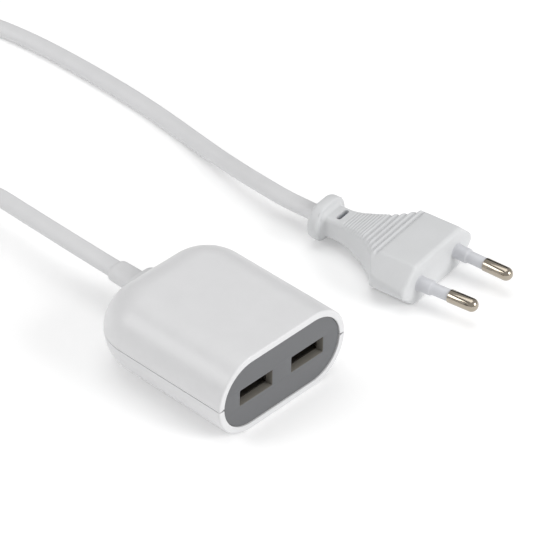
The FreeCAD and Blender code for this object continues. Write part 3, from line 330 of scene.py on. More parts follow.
def coil_point(travel):
    """Where the cord is after so many degrees round the coil."""
    radius = ROWS[0]
    for start, outwards in SIDEWAYS:
        radius += ROW_STEP * outwards * eased(travel, start, SIDE_TRAVEL)
    height = LOW_LAYER + (HIGH_LAYER - LOW_LAYER) * eased(travel, CLIMB_START, CLIMB_TRAVEL)
    angle = TURNS_START - travel
    from_tie = abs((angle - TIE_ANGLE + 180) % 360 - 180)
    height += TIE_LIFT * (1 - eased(from_tie, TIE_NEAR, TIE_FADE))
    radius /= math.cos(math.pi / PER_TURN)
    spot = Vector((math.cos(math.radians(angle)), math.sin(math.radians(angle)))) * radius + COIL_CENTRE
    return (spot.x, spot.y, height)


turns = round(TURNS_TOTAL / 360 * PER_TURN)
coil_run = [coil_point(TURNS_TOTAL * i / turns) for i in range(turns + 1)]
route = casing_run + coil_run + plug_run
print("points of the cord's line:", len(route))

# %% The cord itself
curve = bpy.data.curves.new("flat_cord", "CURVE")
curve.dimensions = "3D"
curve.twist_mode = "Z_UP"
curve.extrude = (CORD_WIDTH - CORD_THICKNESS) / 2 * MM
curve.bevel_depth = CORD_THICKNESS / 2 * MM
curve.bevel_resolution = 6
curve.use_fill_caps = True
curve.resolution_u = 8
spline = curve.splines.new("NURBS")
spline.points.add(len(route) - 1)
for point, spot in zip(spline.points, route):
    point.co = (*(Vector(spot) * MM), 1.0)
    point.tilt = math.radians(90)
spline.order_u = 3
spline.use_endpoint_u = True
curve.materials.append(cord_pvc)
flat_cord = bpy.data.objects.new("flat_cord", curve)
scene.collection.objects.link(flat_cord)
settle(flat_cord, "white_cord", "cord_to_casing", "cord_to_plug", "cord_coil")
print("cord, mm:", round(spline.calc_length() / MM))


# %% [markdown]
# ## The coil's strap
# A soft hook-and-loop strap holds the spare cord. It is a thin closed band wrapped round the section
# of the coil; its free end, lapped on top, is not drawn. It is made as a swept band, so that its
# rounded corners are real.

# %% Strap
STRAP_SHEET, STRAP_WIDTH, STRAP_CORNER, STRAP_EDGE = 0.65, 8.0, 1.2, 0.2
OFF_DESK = 0.02
tie_middle = (ROWS[0] + ROWS[2]) / 2
tie_half = (ROWS[0] - ROWS[2] + CORD_WIDTH) / 2 + 0.1
tie_height = 2 * CORD_THICKNESS + 0.3


def strap_ring(grow):
    """The strap's outline in the plane across the coil: across and up, in millimetres."""
    points = section(tie_half + grow, tie_height / 2 + grow, STRAP_CORNER + grow)
    return [(tie_middle + x, OFF_DESK + STRAP_SHEET + tie_height / 2 + z) for x, z in points]


strap = bmesh.new()
half = STRAP_WIDTH / 2
near_side = [(0.0, STRAP_EDGE - half), (STRAP_EDGE, -half), (STRAP_SHEET - STRAP_EDGE, -half),
             (STRAP_SHEET, STRAP_EDGE - half)]
far_side = [(grow, -along) for grow, along in reversed(near_side)]
rows = []
for grow, along in near_side + far_side:
    rows.append([strap.verts.new(Vector((x, along, z)) * MM) for x, z in strap_ring(grow)])
for low, high in zip(rows, rows[1:] + rows[:1]):
    for i in range(len(low)):
        j = (i + 1) % len(low)
        strap.faces.new((low[i], low[j], high[j], high[i]))
tie_place = Matrix.Translation((COIL_CENTRE * MM).to_3d()) @ Matrix.Rotation(math.radians(TIE_ANGLE), 4, "Z")

strap_cloth, strap_shader = new_material("black_nylon_hook_and_loop", 0.85)
place = add(strap_cloth, "TexCoord").outputs["Object"]
loops = add(strap_cloth, "TexNoise", inputs={"Vector": place, "Scale": per_mm(0.5), "Detail": 3.0})
tone = add(strap_cloth, "ValToRGB", inputs={"Fac": loops.outputs["Fac"]})
tone.color_ramp.elements[0].color = colour("#161617")
tone.color_ramp.elements[1].color = colour("#38383A")
link(strap_cloth, tone.outputs["Color"], strap_shader.inputs["Base Color"])
nap = add(strap_cloth, "Bump", inputs={"Height": loops.outputs["Fac"], "Distance": 0.15 * MM,
                                       "Strength": 1.0})
link(strap_cloth, nap.outputs["Normal"], strap_shader.inputs["Normal"])
coil_strap = piece("coil_strap", strap, strap_cloth, tie_place)
settle(coil_strap, "black_tie", "cord_tie")

# %% [markdown]
# ## The casing
# The casing is two thin shells that meet at mid-height: a tube of stadium section whose back is
# closed by the same round. Its skin is a line in plan, pushed out all round by a half circle, so
# one small function gives any point of it. The front rim is rounded at its edge and runs round to
# the recess that holds the panel.

# %% Casing sizes
upper_low, upper_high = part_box("upper_shell")
HALF_WIDTH = upper_high.x / MM
FRONT = upper_low.y / MM
MIDDLE = upper_high.z / MM / 2
CAD_BOSS_RISE = 0.9
BACK = upper_high.y / MM - CAD_BOSS_RISE
BOSS_RISE, BOSS_HALF, BOSS_UP = 1.35, 6.4, 4.8
HOLE_HALF, HOLE_UP = 3.86, 2.66
CORNER = 15.0
WALL = 2.0
# Half the seam's gap at the skin, the rounding of its edge, and how much it widens by the wall's inner face.
SEAM_HALF = 0.09
SEAM_ROUND = 0.1
SEAM_WIDENS = 0.35
RIM_ROUND, RIM_INNER_ROUND = 0.5, 0.15
RIM_DEPTH = 3.3
ARC_STEPS = 24
print("casing, mm:", round(2 * HALF_WIDTH, 2), round(BACK - FRONT, 2), round(2 * MIDDLE, 2))


# %% Points of the casing's skin
def plan_line():
    """The line in plan that the round section is pushed out from: points and their outward directions."""
    across, small, end = HALF_WIDTH - MIDDLE, CORNER - MIDDLE, BACK - MIDDLE
    start = FRONT + RIM_ROUND
    line = [((-across, start), (-1, 0)), ((-across, FRONT + RIM_DEPTH), (-1, 0))]
    for side, begin in ((-1, 180), (1, 90)):
        for i in range(ARC_STEPS + 1):
            angle = math.radians(begin - 90 * i / ARC_STEPS)
            out = (math.cos(angle), math.sin(angle))
            line.append((((across - small) * side + small * out[0], end - small + small * out[1]), out))
    return line + [((across, FRONT + RIM_DEPTH), (1, 0)), ((across, start), (1, 0))]


def round_point(depth, row):
    """How far out and up one row of the half section is, at a depth under the outer skin."""
    radius = MIDDLE - depth
    gap = SEAM_HALF + SEAM_WIDENS * (depth / WALL) ** 2
    if row == 0:
        radius = MIDDLE - max(depth, SEAM_ROUND)
        return math.sqrt(radius ** 2 - gap ** 2), gap
    if row == 1:
        return math.sqrt(radius ** 2 - (gap + SEAM_ROUND) ** 2), gap + SEAM_ROUND
    angle = math.radians(90 * (row - 1) / ARC_STEPS)
    return radius * math.cos(angle), radius * math.sin(angle)


ROW_COUNT = ARC_STEPS + 2


def quads(mesh, grid):
    """Faces over a grid of points in millimetres."""
    verts = [[mesh.verts.new(Vector(p) * MM) for p in line] for line in grid]
    for low, high in zip(verts, verts[1:]):
        for i in range(len(low) - 1):
            mesh.faces.new((low[i], low[i + 1], high[i + 1], high[i]))


def rim_profile():
    """Round the rim's outer edge, over its flat, and round its inner edge: pairs of along Y and depth."""
    line = []
    for i in range(7):
        angle = math.radians(90 * i / 6)
        line.append((FRONT + RIM_ROUND * (1 - math.sin(angle)), RIM_ROUND * (1 - math.cos(angle))))
    for i in range(4):
        angle = math.radians(90 * i / 3)
        line.append((FRONT + RIM_INNER_ROUND * (1 - math.cos(angle)),
                     WALL - RIM_INNER_ROUND * (1 - math.sin(angle))))
    return line + [(FRONT + RIM_ROUND, WALL)]


def shell(side):
    """One half of the casing, the upper for side 1 and the lower for side -1."""
    mesh = bmesh.new()
    line = plan_line()

    def spot(plan, out, depth, row, y=None):
        reach, rise = round_point(depth, row)
        along = plan[1] if y is None else y
        return (plan[0] + out[0] * reach, along + out[1] * reach, MIDDLE + side * rise)

    for depth in (0.0, WALL):
        quads(mesh, [[spot(p, out, depth, row) for row in range(ROW_COUNT)] for p, out in line])
        cap = [mesh.verts.new(Vector(spot(p, out, depth, ROW_COUNT - 1)) * MM) for p, out in line]
        mesh.faces.new(cap)
    quads(mesh, [[spot(p, out, depth, 0) for depth in (0.0, WALL)] for p, out in line])
    around = [(line[0], row) for row in range(ROW_COUNT)]
    around += [(line[-1], row) for row in reversed(range(ROW_COUNT))]
    profile = rim_profile()
    quads(mesh, [[spot(p, out, depth, row, y) for y, depth in profile] for (p, out), row in around])
    for p, out in (line[0], line[-1]):
        mesh.faces.new([mesh.verts.new(Vector(spot(p, out, depth, 0, y)) * MM) for y, depth in profile])
    return mesh


# %% [markdown]
# Round the hole for the cord the back carries a low oval boss. It is a ring of its own with a soft
# foot and a rounded lip, split at the seam like the shells. Inside the seam the lower shell has a
# thin lip that closes the gap, which is what makes the seam look like a fine groove and not an open
# slot.


# %% Boss and lip
def boss(mesh, side):
    """Half of the oval boss: outer wall with a small fillet at its foot, rounded edge, flat face and hole."""
    foot, face = BACK - 1.9, BACK + BOSS_RISE
    wall = [(foot, 0.3), (BACK - 0.5, 0.2), (BACK, 0.08), (BACK + 0.35, 0.0), (face - 0.3, 0.0),
            (face - 0.09, -0.09), (face, -0.3)]
    hole = [(face, 0.1), (face - 0.1, 0.0), (foot, 0.0)]
    outline = [(along, BOSS_HALF, BOSS_UP, grow) for along, grow in wall]
    outline += [(along, HOLE_HALF, HOLE_UP, grow) for along, grow in hole]
    grid = []
    for i in range(2 * QUARTER_STEPS + 2):
        row = []
        for along, half_across, half_up, grow in outline:
            points = section(half_across + grow, half_up + grow, half_up + grow)
            x, z = points[i]
            row.append((x, along, MIDDLE + side * max(z, SEAM_HALF)))
        grid.append(row)
    quads(mesh, grid)
    for row in (grid[0], grid[-1]):
        mesh.faces.new([mesh.verts.new(Vector(p) * MM) for p in row])
    verts = [[mesh.verts.new(Vector(row[k]) * MM) for k in (0, -1)] for row in grid]
    for low, high in zip(verts, verts[1:]):
        mesh.faces.new((low[0], low[1], high[1], high[0]))


LIP_DEPTHS, LIP_HEIGHTS = (1.05, 1.95), (-0.7, 1.2)


def lip(mesh):
    """The lower shell's thin inner lip, swept along the casing's plan."""
    stations = [(p, out) for p, out in plan_line() if p[1] > FRONT + RIM_DEPTH - 0.1]
    (near, deep), (low, high) = LIP_DEPTHS, LIP_HEIGHTS
    rows = []
    for p, out in stations:
        row = []
        for depth, rise in ((near, low), (near, high), (deep, high), (deep, low)):
            reach = MIDDLE - depth
            spot = Vector((p[0] + out[0] * reach, p[1] + out[1] * reach, MIDDLE + rise))
            row.append(mesh.verts.new(spot * MM))
        rows.append(row)
    for low, high in zip(rows, rows[1:]):
        for i in range(4):
            j = (i + 1) % 4
            mesh.faces.new((low[i], low[j], high[j], high[i]))
    mesh.faces.new(rows[0][::-1])
    mesh.faces.new(rows[-1])


for side, name, node in ((1, "casing_top", "upper_shell"), (-1, "casing_base", "lower_shell")):
    half_shell = shell(side)
    clean(half_shell)
    boss(half_shell, side)
    if side < 0:
        lip(half_shell)
    shell_piece = piece(name, half_shell, casing_abs, sharp=40)
    shell_piece.modifiers.new("even_normals", "WEIGHTED_NORMAL").keep_sharp = True
    settle(shell_piece, "white_shell", node)

# %% [markdown]
# ## The port panel
# The panel is a stadium plate with two rectangular openings. A flat filled curve with holes is the
# shortest way to make it: the bevel rounds the outer edge and the edges of the holes alike.


# %% Panel
def closed_outline(curve_data, points):
    spline = curve_data.splines.new("POLY")
    spline.points.add(len(points) - 1)
    for point, (x, z) in zip(spline.points, points):
        point.co = (x * MM, z * MM, 0, 1)
    spline.use_cyclic_u = True


PANEL_RECESS, PANEL_DEPTH, PANEL_GAP, PANEL_EDGE = 0.4, 2.5, 0.08, 0.14
PORT_PITCH, PORT_WIDTH, PORT_HEIGHT, PORT_CORNER = 19.9, 12.5, 5.2, 0.3
NEARLY_ALL = 0.001
plate = bpy.data.curves.new("panel_outline", "CURVE")
plate.dimensions = "2D"
plate.fill_mode = "BOTH"
plate.extrude = (PANEL_DEPTH / 2 - PANEL_EDGE) * MM
plate.bevel_depth = PANEL_EDGE * MM
plate.bevel_resolution = 2
plate.offset = -PANEL_EDGE * MM
panel_inset = WALL + PANEL_GAP
panel_half = MIDDLE - panel_inset
closed_outline(plate, section(HALF_WIDTH - panel_inset, panel_half, panel_half - NEARLY_ALL))
for side in (-1, 1):
    opening = section(PORT_WIDTH / 2, PORT_HEIGHT / 2, PORT_CORNER)
    closed_outline(plate, [(x + side * PORT_PITCH / 2, z) for x, z in opening])
outline = bpy.data.objects.new("panel_outline", plate)
scene.collection.objects.link(outline)
bpy.context.view_layer.update()
flat = bpy.data.meshes.new_from_object(outline.evaluated_get(bpy.context.evaluated_depsgraph_get()))
bpy.data.objects.remove(outline)
panel_mesh = bmesh.new()
panel_mesh.from_mesh(flat)
panel_middle = Vector((0, FRONT + PANEL_RECESS + PANEL_DEPTH / 2, MIDDLE))
stand_up = Matrix.Translation(panel_middle * MM) @ Matrix.Rotation(math.radians(90), 4, "X")
port_panel = piece("port_panel", panel_mesh, panel_abs, stand_up, sharp=35)
settle(port_panel, "grey_panel", "front_panel")

# %% [markdown]
# ## The mains plug
# The plug is soft PVC moulded round its pins, so it has no sharp edge. Its nose is six-sided and
# fills the socket's recess, its flanks sweep in to a narrow neck, and its top and bottom slope down
# with grip ribs across them. The ribs are real geometry: the height of each section dips at every
# groove.

# %% Plug sizes along its length
FACE_HALF, PLUG_HALF, RAMP_START, NECK_START = 17.7, 6.85, 12.6, 31.0
NECK_WIDE, NECK_HALF = 4.3, 3.5
FACET_ACROSS, FACET_DOWN, FACET_FROM = 6.22, 5.95, 11.5
FACET_LENGTH = math.hypot(FACET_DOWN, FACET_ACROSS)
FACET = (FACET_DOWN / FACET_LENGTH, FACET_ACROSS / FACET_LENGTH)
FACET_DISTANCE = FACET[0] * FACET_FROM + FACET[1] * PLUG_HALF
# Half width along the plug: nearly straight at the nose, a shoulder, then a sweep in to the neck.
FLANK = [(-6.0, 17.95), (0.0, FACE_HALF), (6.0, 17.35), (11.4, 16.75), (12.9, 15.3), (15.64, 11.8),
         (19.86, 8.3), (24.86, 5.93), (NECK_START, NECK_WIDE), (36.0, NECK_WIDE), (42.0, NECK_WIDE)]
# Grip ribs: where each groove is along the plug, how deep, and how wide.
COARSE = [(13.2 + 1.85 * i, 0.7, 0.52) for i in range(5)]
FINE = [(21.85 + 1.0 * i, 0.28, 0.19) for i in range(9)]


def flank(y):
    """Half width at y: a smooth line through the table."""
    for (y0, w0), (y1, w1), (y2, w2), (y3, w3) in zip(FLANK, FLANK[1:], FLANK[2:], FLANK[3:]):
        if y1 <= y <= y2:
            share = (y - y1) / (y2 - y1)
            slope1 = (w2 - w0) / (y2 - y0) * (y2 - y1)
            slope2 = (w3 - w1) / (y3 - y1) * (y2 - y1)
            a = 2 * share ** 3 - 3 * share ** 2 + 1
            b = share ** 3 - 2 * share ** 2 + share
            c = 3 * share ** 2 - 2 * share ** 3
            d = share ** 3 - share ** 2
            return a * w1 + b * slope1 + c * w2 + d * slope2
    return FLANK[-1][1]


def thickness(y):
    """Half thickness at y: a slope with soft ends, and the ribs' grooves taken out."""
    slope = (PLUG_HALF - NECK_HALF) / (NECK_START - RAMP_START)
    down = slope * (math.log1p(math.exp(y - RAMP_START)) - math.log1p(math.exp(y - NECK_START)))
    dip = sum(depth * math.exp(-((y - at) / wide) ** 2) for at, depth, wide in COARSE + FINE)
    return PLUG_HALF - down - dip


def plug_section(y, inset, radius, flare=0.0):
    """The plug's section at y, drawn in by inset and let out by flare."""
    facet = (FACET[0], FACET[1], FACET_DISTANCE - inset)
    points = section(flank(y) - inset + flare, thickness(y) - inset + flare, radius, facet)
    return ring(points, y, PLUG_MIDDLE)


# %% Plug body
NOSE_ROUND, BODY_CORNER, NECK_CORNER = 1.3, 2.2, 1.5
FLARE_START, FLARE_LENGTH, FLARE_OUT = 35.7, 1.3, 1.1
NECK_END = 37.3
FIRST_RIB, COARSE_STEP, RIB_STEP = 11.0, 0.8, 0.12
plug_mesh = bmesh.new()
rings = []
for i in range(9):
    angle = math.radians(90 * i / 8)
    inset = NOSE_ROUND * (1 - math.sin(angle))
    rings.append(plug_section(NOSE_ROUND * (1 - math.cos(angle)), inset, BODY_CORNER))
y = NOSE_ROUND + 1.0
while y < NECK_END:
    to_neck = eased(y, RAMP_START, NECK_START - RAMP_START)
    flare = FLARE_OUT * max(0.0, (y - FLARE_START) / FLARE_LENGTH) ** 2
    rings.append(plug_section(y, 0.0, BODY_CORNER + (NECK_CORNER - BODY_CORNER) * to_neck, flare))
    y += RIB_STEP if y > FIRST_RIB else COARSE_STEP
skin(plug_mesh, rings)
clean(plug_mesh)
flange = []
FLANGE_START, FLANGE_WIDTH, FLANGE_HEIGHT = 36.9, 7.5, 6.0
for along, inset in ((0.0, 0.7), (0.1, 0.4), (0.35, 0.12), (0.7, 0.0), (2.4, 0.0), (2.9, 0.12), (3.3, 0.4),
                     (3.6, 0.85), (3.82, 1.5), (3.97, 2.2), (4.06, 3.0), (4.09, 3.9)):
    points = section(FLANGE_WIDTH - inset, FLANGE_HEIGHT - inset, FLANGE_HEIGHT - inset - NEARLY_ALL)
    flange.append(ring(points, FLANGE_START + along, PLUG_MIDDLE))
flange_mesh = bmesh.new()
skin(flange_mesh, flange)
plug_moulding = piece("plug_moulding", plug_mesh, plug_pvc, PLUG_PLACE, sharp=50)

# %% Slot in the neck and the flange
SLOT_AT, SLOT_HALF, SLOT_WIDE = 32.85, 2.6, 0.8
SLOT_FLOOR, ABOVE_NECK = PLUG_MIDDLE + 0.4, 12.0
slot_mesh = bmesh.new()
slot_points = section(SLOT_HALF, SLOT_WIDE, SLOT_WIDE - 0.01)
skin(slot_mesh, [[Vector((x, SLOT_AT + z, height)) for x, z in slot_points]
                 for height in (SLOT_FLOOR, ABOVE_NECK)])
slot_cutter = piece("neck_slot", slot_mesh, plug_pvc, PLUG_PLACE)
cut = plug_moulding.modifiers.new("slot", "BOOLEAN")
cut.object = slot_cutter
cut.operation = "DIFFERENCE"
cut.solver = "EXACT"
bpy.context.view_layer.update()
cut_mesh = bpy.data.meshes.new_from_object(plug_moulding.evaluated_get(bpy.context.evaluated_depsgraph_get()))
plug_moulding.modifiers.clear()
joined = bmesh.new()
joined.from_mesh(cut_mesh)
clean(flange_mesh)
flange_mesh.transform(PLUG_PLACE)
flange_data = bpy.data.meshes.new("flange")
flange_mesh.to_mesh(flange_data)
joined.from_mesh(flange_data)
joined.to_mesh(plug_moulding.data)
joined.free()
plug_moulding.data.shade_smooth()
plug_moulding.data.set_sharp_from_angle(angle=math.radians(50))
bpy.data.objects.remove(slot_cutter)
settle(plug_moulding, "white_plug", "plug_body")

# %% [markdown]
# ## Pins and sleeves
# Each pin is turned brass with a nickel plate. Its inner half is thinner and carries a moulded
# sleeve, so that no bare metal can be touched while the plug is half-way in. A thicker collar
# stands at the plug's face.

# %% Nickel plate
# A wave texture of scale 1 draws about this many bands, light and dark, in one unit.
BANDS_PER_UNIT = 6.28
nickel, nickel_shader = new_material("nickel_plated_brass_turned", 0.14, metallic=1.0)
nickel_shader.inputs["Base Color"].default_value = colour("#AFA698")
place = add(nickel, "TexCoord").outputs["Object"]
wear = add(nickel, "TexNoise", inputs={"Vector": place, "Scale": per_mm(1.2), "Detail": 4.0,
                                       "Roughness": 0.65})
polish = add(nickel, "MapRange", inputs={"Value": wear.outputs["Fac"], "From Min": 0.35, "From Max": 0.7,
                                         "To Min": 0.1, "To Max": 0.18})
link(nickel, polish.outputs["Result"], nickel_shader.inputs["Roughness"])
tool_marks = add(nickel, "TexWave", {"wave_type": "BANDS", "bands_direction": "Y"},
                 {"Vector": place, "Scale": per_mm(0.35) / BANDS_PER_UNIT, "Distortion": 0.4, "Detail": 1.0})
turned = add(nickel, "Bump", inputs={"Height": tool_marks.outputs["Fac"], "Distance": 0.0004 * MM,
                                     "Strength": 1.0})
link(nickel, turned.outputs["Normal"], nickel_shader.inputs["Normal"])

# %% Turned pieces
PIN_LENGTH, PIN_RADIUS, PIN_METAL, SLEEVE_RADIUS, COLLAR_RADIUS = 19.0, 2.0, 9.0, 1.8, 2.2
CORE_RADIUS, CORE_END = 1.5, 8.0
PITCH_AT_FACE, PITCH_AT_TIPS = 18.6, 17.5
PIN_TILT = math.atan((PITCH_AT_FACE - PITCH_AT_TIPS) / 2 / PIN_LENGTH)
HAIR = 0.0001


def turned_piece(name, outline, material, place):
    """A turned shape from (along, radius) pairs, about its own Y axis."""
    mesh = bmesh.new()
    skin(mesh, [ring(section(radius, radius, radius - HAIR), along) for along, radius in outline])
    return piece(name, mesh, material, place, sharp=50)


bare = PIN_METAL - PIN_LENGTH
pin_outline = []
for a in range(0, 91, 6):
    angle = math.radians(a)
    along = PIN_RADIUS * (1 - math.cos(angle)) - PIN_LENGTH
    pin_outline.append((along, max(0.02, PIN_RADIUS * math.sin(angle))))
pin_outline += [(bare - 0.12, PIN_RADIUS), (bare - 0.03, PIN_RADIUS - 0.03), (bare, PIN_RADIUS - 0.12),
                (bare + 0.001, CORE_RADIUS), (CORE_END, CORE_RADIUS)]
sleeve_outline = [(bare + 0.02, CORE_RADIUS + 0.02), (bare + 0.02, SLEEVE_RADIUS - 0.08),
                  (bare + 0.1, SLEEVE_RADIUS), (-4.9, SLEEVE_RADIUS), (-4.5, SLEEVE_RADIUS + 0.03),
                  (-4.25, COLLAR_RADIUS - 0.12), (-4.1, COLLAR_RADIUS - 0.02), (-3.9, COLLAR_RADIUS),
                  (-0.6, COLLAR_RADIUS), (-0.25, COLLAR_RADIUS + 0.05), (-0.05, COLLAR_RADIUS + 0.2),
                  (0.8, COLLAR_RADIUS + 0.2), (0.8, CORE_RADIUS + 0.02)]
pin_pieces = []
for side, label in ((-1, "left"), (1, "right")):
    root = Matrix.Translation(Vector((side * PITCH_AT_FACE / 2, 0, PLUG_MIDDLE)) * MM)
    place = PLUG_PLACE @ root @ Matrix.Rotation(-PIN_TILT * side, 4, "Z")
    pin = turned_piece(f"mains_pin_{label}", pin_outline, nickel, place)
    settle(pin, "pin_nickel", f"plug_pin_{label}")
    sleeve = turned_piece(f"sleeve_{label}", sleeve_outline, sleeve_pbt, place)
    settle(sleeve, "pin_sleeve_plastic", f"pin_sleeve_{label}")
    pin_pieces += [pin, sleeve]

# %% [markdown]
# ## Bushing
# The cord is held in the casing by a bushing moulded on to it: a short oval sleeve that stops the
# cord from bending sharply at the wall. Its end is rounded over.

# %% Bushing
bushing_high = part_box("cord_bushing")[1]
BUSH_END = bushing_high.y / MM
BUSH_WIDE, BUSH_HIGH = 3.8, 2.6
bushing_mesh = bmesh.new()
outline = [(BACK - 4.0, 0.0), (BUSH_END - 6.0, 0.0), (BUSH_END - 1.2, -0.08), (BUSH_END - 0.5, -0.16),
           (BUSH_END - 0.15, -0.34), (BUSH_END - 0.02, -0.6), (BUSH_END, -0.8)]
bushing_rings = []
for along, grow in outline:
    points = section(BUSH_WIDE + grow, BUSH_HIGH + grow, BUSH_HIGH + grow - NEARLY_ALL)
    bushing_rings.append(ring(points, along, MIDDLE))
skin(bushing_mesh, bushing_rings)
bushing = piece("bushing", bushing_mesh, cord_pvc, sharp=50)
settle(bushing, "white_cord", "cord_bushing")

# %% [markdown]
# ## Steel, insulators and contacts in the ports
# A USB receptacle is a shell of tin-plated steel, folded from strip 0.3 mm thick, round a moulded
# insulator whose tongue carries four gold-flashed contacts. The CAD pieces have the right shape, so
# they only take their finish.

# %% Port finishes
tin, tin_shader = new_material("tin_plated_steel_rolled", 0.36, metallic=1.0)
tin_shader.inputs["Base Color"].default_value = colour("#8E8A84")
place = add(tin, "TexCoord").outputs["Object"]
stretched = add(tin, "Mapping", inputs={"Vector": place, "Scale": (8.0, 0.6, 8.0)}).outputs["Vector"]
rolled = add(tin, "TexNoise", inputs={"Vector": stretched, "Scale": per_mm(4.0), "Detail": 3.0})
dull = add(tin, "MapRange", inputs={"Value": rolled.outputs["Fac"], "To Min": 0.3, "To Max": 0.44})
link(tin, dull.outputs["Result"], tin_shader.inputs["Roughness"])
lines = add(tin, "Bump", inputs={"Height": rolled.outputs["Fac"], "Distance": 0.004 * MM, "Strength": 1.0})
link(tin, lines.outputs["Normal"], tin_shader.inputs["Normal"])

gold, gold_shader = new_material("gold_flashed_brass_stamped", 0.25, metallic=1.0)
gold_shader.inputs["Base Color"].default_value = colour("#D9B36A")
place = add(gold, "TexCoord").outputs["Object"]
stamped = add(gold, "TexNoise", inputs={"Vector": place, "Scale": per_mm(0.8), "Detail": 3.0})
worn = add(gold, "MapRange", inputs={"Value": stamped.outputs["Fac"], "To Min": 0.18, "To Max": 0.36})
link(gold, worn.outputs["Result"], gold_shader.inputs["Roughness"])

insulator_pbt = moulded("black_pbt_insulator", "#1E1E1F", 0.5, grain_mm=0.3, depth_mm=0.004, uneven=0.04)

# %% [markdown]
# ## Pieces inside
# The power supply is closed in, but each piece still has its own finish: green laminate, ferrite,
# copper wire, film tape, shrink sleeve and dipped resin. They show if a shell is taken off.

# %% Laminate with its tracks
laminate, laminate_shader = new_material("green_glass_epoxy_laminate", 0.42)
place = add(laminate, "TexCoord").outputs["Object"]
tracks = add(laminate, "TexBrick", {"offset": 0.5, "squash": 1.0}, {
    "Vector": place, "Scale": per_mm(6.0), "Mortar Size": 0.09, "Mortar Smooth": 0.2, "Brick Width": 1.0,
    "Row Height": 0.5, "Color1": colour("#0F4A2C"), "Color2": colour("#12522F"), "Mortar": colour("#1E6B3E")})
link(laminate, tracks.outputs["Color"], laminate_shader.inputs["Base Color"])
raised = add(laminate, "Bump", inputs={"Height": tracks.outputs["Fac"], "Distance": 0.03 * MM,
                                       "Strength": 1.0})
link(laminate, raised.outputs["Normal"], laminate_shader.inputs["Normal"])

# %% Winding of enamelled wire
copper, copper_shader = new_material("enamelled_copper_wire_wound", 0.35)
place = add(copper, "TexCoord").outputs["Object"]
wires = add(copper, "TexWave", {"wave_type": "BANDS", "bands_direction": "Z"},
            {"Vector": place, "Scale": per_mm(0.4) / BANDS_PER_UNIT, "Distortion": 0.6})
# The colour runs from dark brown in the grooves between turns to copper on their crowns, where the bump is
# high: the dark brown is painted shade.
wire_tone_with_painted_groove_shade = add(copper, "ValToRGB", inputs={"Fac": wires.outputs["Fac"]})
wire_tone_with_painted_groove_shade.color_ramp.elements[0].color = colour("#5A2A12")
wire_tone_with_painted_groove_shade.color_ramp.elements[1].color = colour("#B5652E")
link(copper, wire_tone_with_painted_groove_shade.outputs["Color"], copper_shader.inputs["Base Color"])
wound = add(copper, "Bump", inputs={"Height": wires.outputs["Fac"], "Distance": 0.1 * MM, "Strength": 1.0})
link(copper, wound.outputs["Normal"], copper_shader.inputs["Normal"])

# %% The other finishes inside, and all CAD nodes by their slots
FINISHES = {
    "port_steel": tin,
    "port_insulator": insulator_pbt,
    "contact_brass": gold,
    "board_laminate": laminate,
    "winding_copper": copper,
    "ferrite": moulded("black_ferrite_ground", "#3A3A3C", 0.6, grain_mm=0.2, depth_mm=0.01, uneven=0.15),
    "bobbin_plastic": moulded("black_nylon_bobbin", "#232325", 0.5, uneven=0.08),
    "yellow_tape": moulded("yellow_polyester_film_tape", "#D9B21C", 0.3,
        grain_mm=1.5, depth_mm=0.02, uneven=0.06),
    "capacitor_sleeve": moulded("dark_shrink_sleeve", "#1B2436", 0.28,
        grain_mm=1.0, depth_mm=0.006, uneven=0.08),
    "black_resin": moulded("black_epoxy_resin_moulded", "#26272A", 0.6,
        grain_mm=0.2, depth_mm=0.008, uneven=0.1),
    "resistor_coat": moulded("green_cement_coat_dipped", "#3E7A5A", 0.55,
        grain_mm=0.5, depth_mm=0.03, uneven=0.1),
    "blue_resin": moulded("blue_epoxy_dipped", "#2A62A8", 0.25, grain_mm=1.2, depth_mm=0.03, uneven=0.08),
    "brown_core": moulded("brown_pvc_core", "#5C3420", 0.5, uneven=0.05),
    "blue_core": moulded("blue_pvc_core", "#2C5DA6", 0.5, uneven=0.05),
    "carrier_plastic": moulded("cream_nylon_carrier", "#D6D2C4", 0.5, uneven=0.03),
    "white_shell": casing_abs,
    "grey_panel": panel_abs,
    "white_cord": cord_pvc,
    "white_plug": plug_pvc,
    "pin_nickel": nickel,
    "pin_sleeve_plastic": sleeve_pbt,
    "black_tie": strap_cloth,
}
for row in frame["record"]["subparts"]:
    node = frame["nodes"][row["node"]]
    node.data.materials.clear()
    node.data.materials.append(FINISHES[row["material_slot"]])
    node.data.shade_smooth()
    node.data.set_sharp_from_angle(angle=math.radians(35))
print("finishes:", len(FINISHES))

# %% [markdown]
# ## Desk and light
# A plain white desk and soft light from above, from the front right and from the back left. White
# things on white need a difference of light, not of colour: the desk is lit up to full white, with
# a faint glow of its own that softens the shadows, and the charger's sides stay a shade darker. The
# back-left box draws the long highlight on the casing's round side.

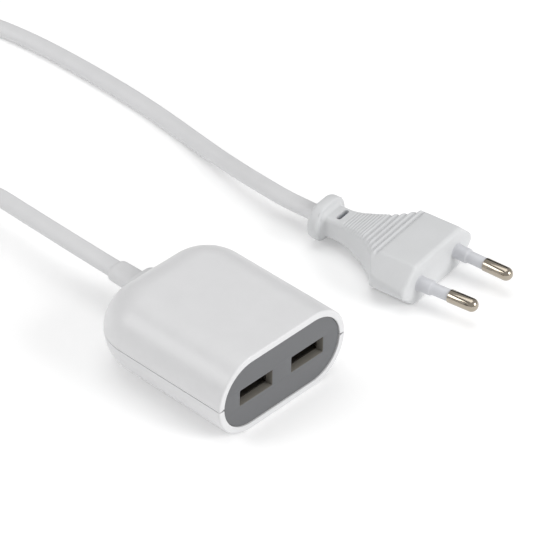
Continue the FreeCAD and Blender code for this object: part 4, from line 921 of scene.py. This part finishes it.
# %% Desk
DESK_GLOW = 0.13
desk_mesh = bmesh.new()
bmesh.ops.create_grid(desk_mesh, x_segments=1, y_segments=1, size=6.0)
desk_paint = moulded("white_desk_matt_paint", "#F7F7F7", 0.9, grain_mm=2.0, depth_mm=0.0, uneven=0.003)
desk_shader = desk_paint.node_tree.nodes["Principled BSDF"]
desk_shader.inputs["Emission Color"].default_value = (1.0, 1.0, 1.0, 1.0)
desk_shader.inputs["Emission Strength"].default_value = DESK_GLOW
desk = piece("desk", desk_mesh, desk_paint, Matrix.Translation((0, 0, -OFF_DESK * MM)))
print("desk:", desk.name)

# %% Light
SKY_LIGHT = 0.52
world = bpy.data.worlds.new("studio")
world.use_nodes = True
sky = world.node_tree.nodes["Background"]
sky.inputs["Color"].default_value = (1.0, 1.0, 1.0, 1.0)
sky.inputs["Strength"].default_value = SKY_LIGHT
scene.world = world
scene.view_settings.view_transform = "Standard"


def lamp(name, spot, size, power):
    """A square soft box that looks at the charger."""
    light = bpy.data.lights.new(name, "AREA")
    light.size = size
    light.energy = power
    thing = bpy.data.objects.new(name, light)
    thing.location = spot
    thing.rotation_euler = (TARGET - Vector(spot)).to_track_quat("-Z", "Y").to_euler()
    scene.collection.objects.link(thing)


lamp("overhead", (0.1, 0.2, 1.3), 1.0, 4.6)
lamp("front_right", (0.45, -1.15, 0.65), 0.7, 10.2)
lamp("back_left", (-0.80, 0.62, 0.70), 0.55, 3.3)

# %% [markdown]
# Bare metal shows only what it mirrors. Two black cards stand outside the view, so that the nickel
# pins have dark bands next to their highlights.

# %% Black cards
black_paper, paper_shader = new_material("black_card_paper", 0.9)
paper_shader.inputs["Base Color"].default_value = colour("#0C0C0C")
CARD_WIDTH = 0.4
upright = Matrix.Rotation(math.radians(90), 4, "X")
for name, spot, height, turn in (("card_left", (-0.38, 0.29, 0.62), 0.2, 55),
                                 ("card_right", (0.50, 0.28, 0.18), 0.36, -60)):
    card_mesh = bmesh.new()
    bmesh.ops.create_grid(card_mesh, x_segments=1, y_segments=1, size=0.5)
    stand = Matrix.Translation(spot) @ Matrix.Rotation(math.radians(turn), 4, "Z") @ upright
    card = piece(name, card_mesh, black_paper, stand @ Matrix.Diagonal((CARD_WIDTH, height, 1, 1)))
    print(card.name, "height, m:", height)
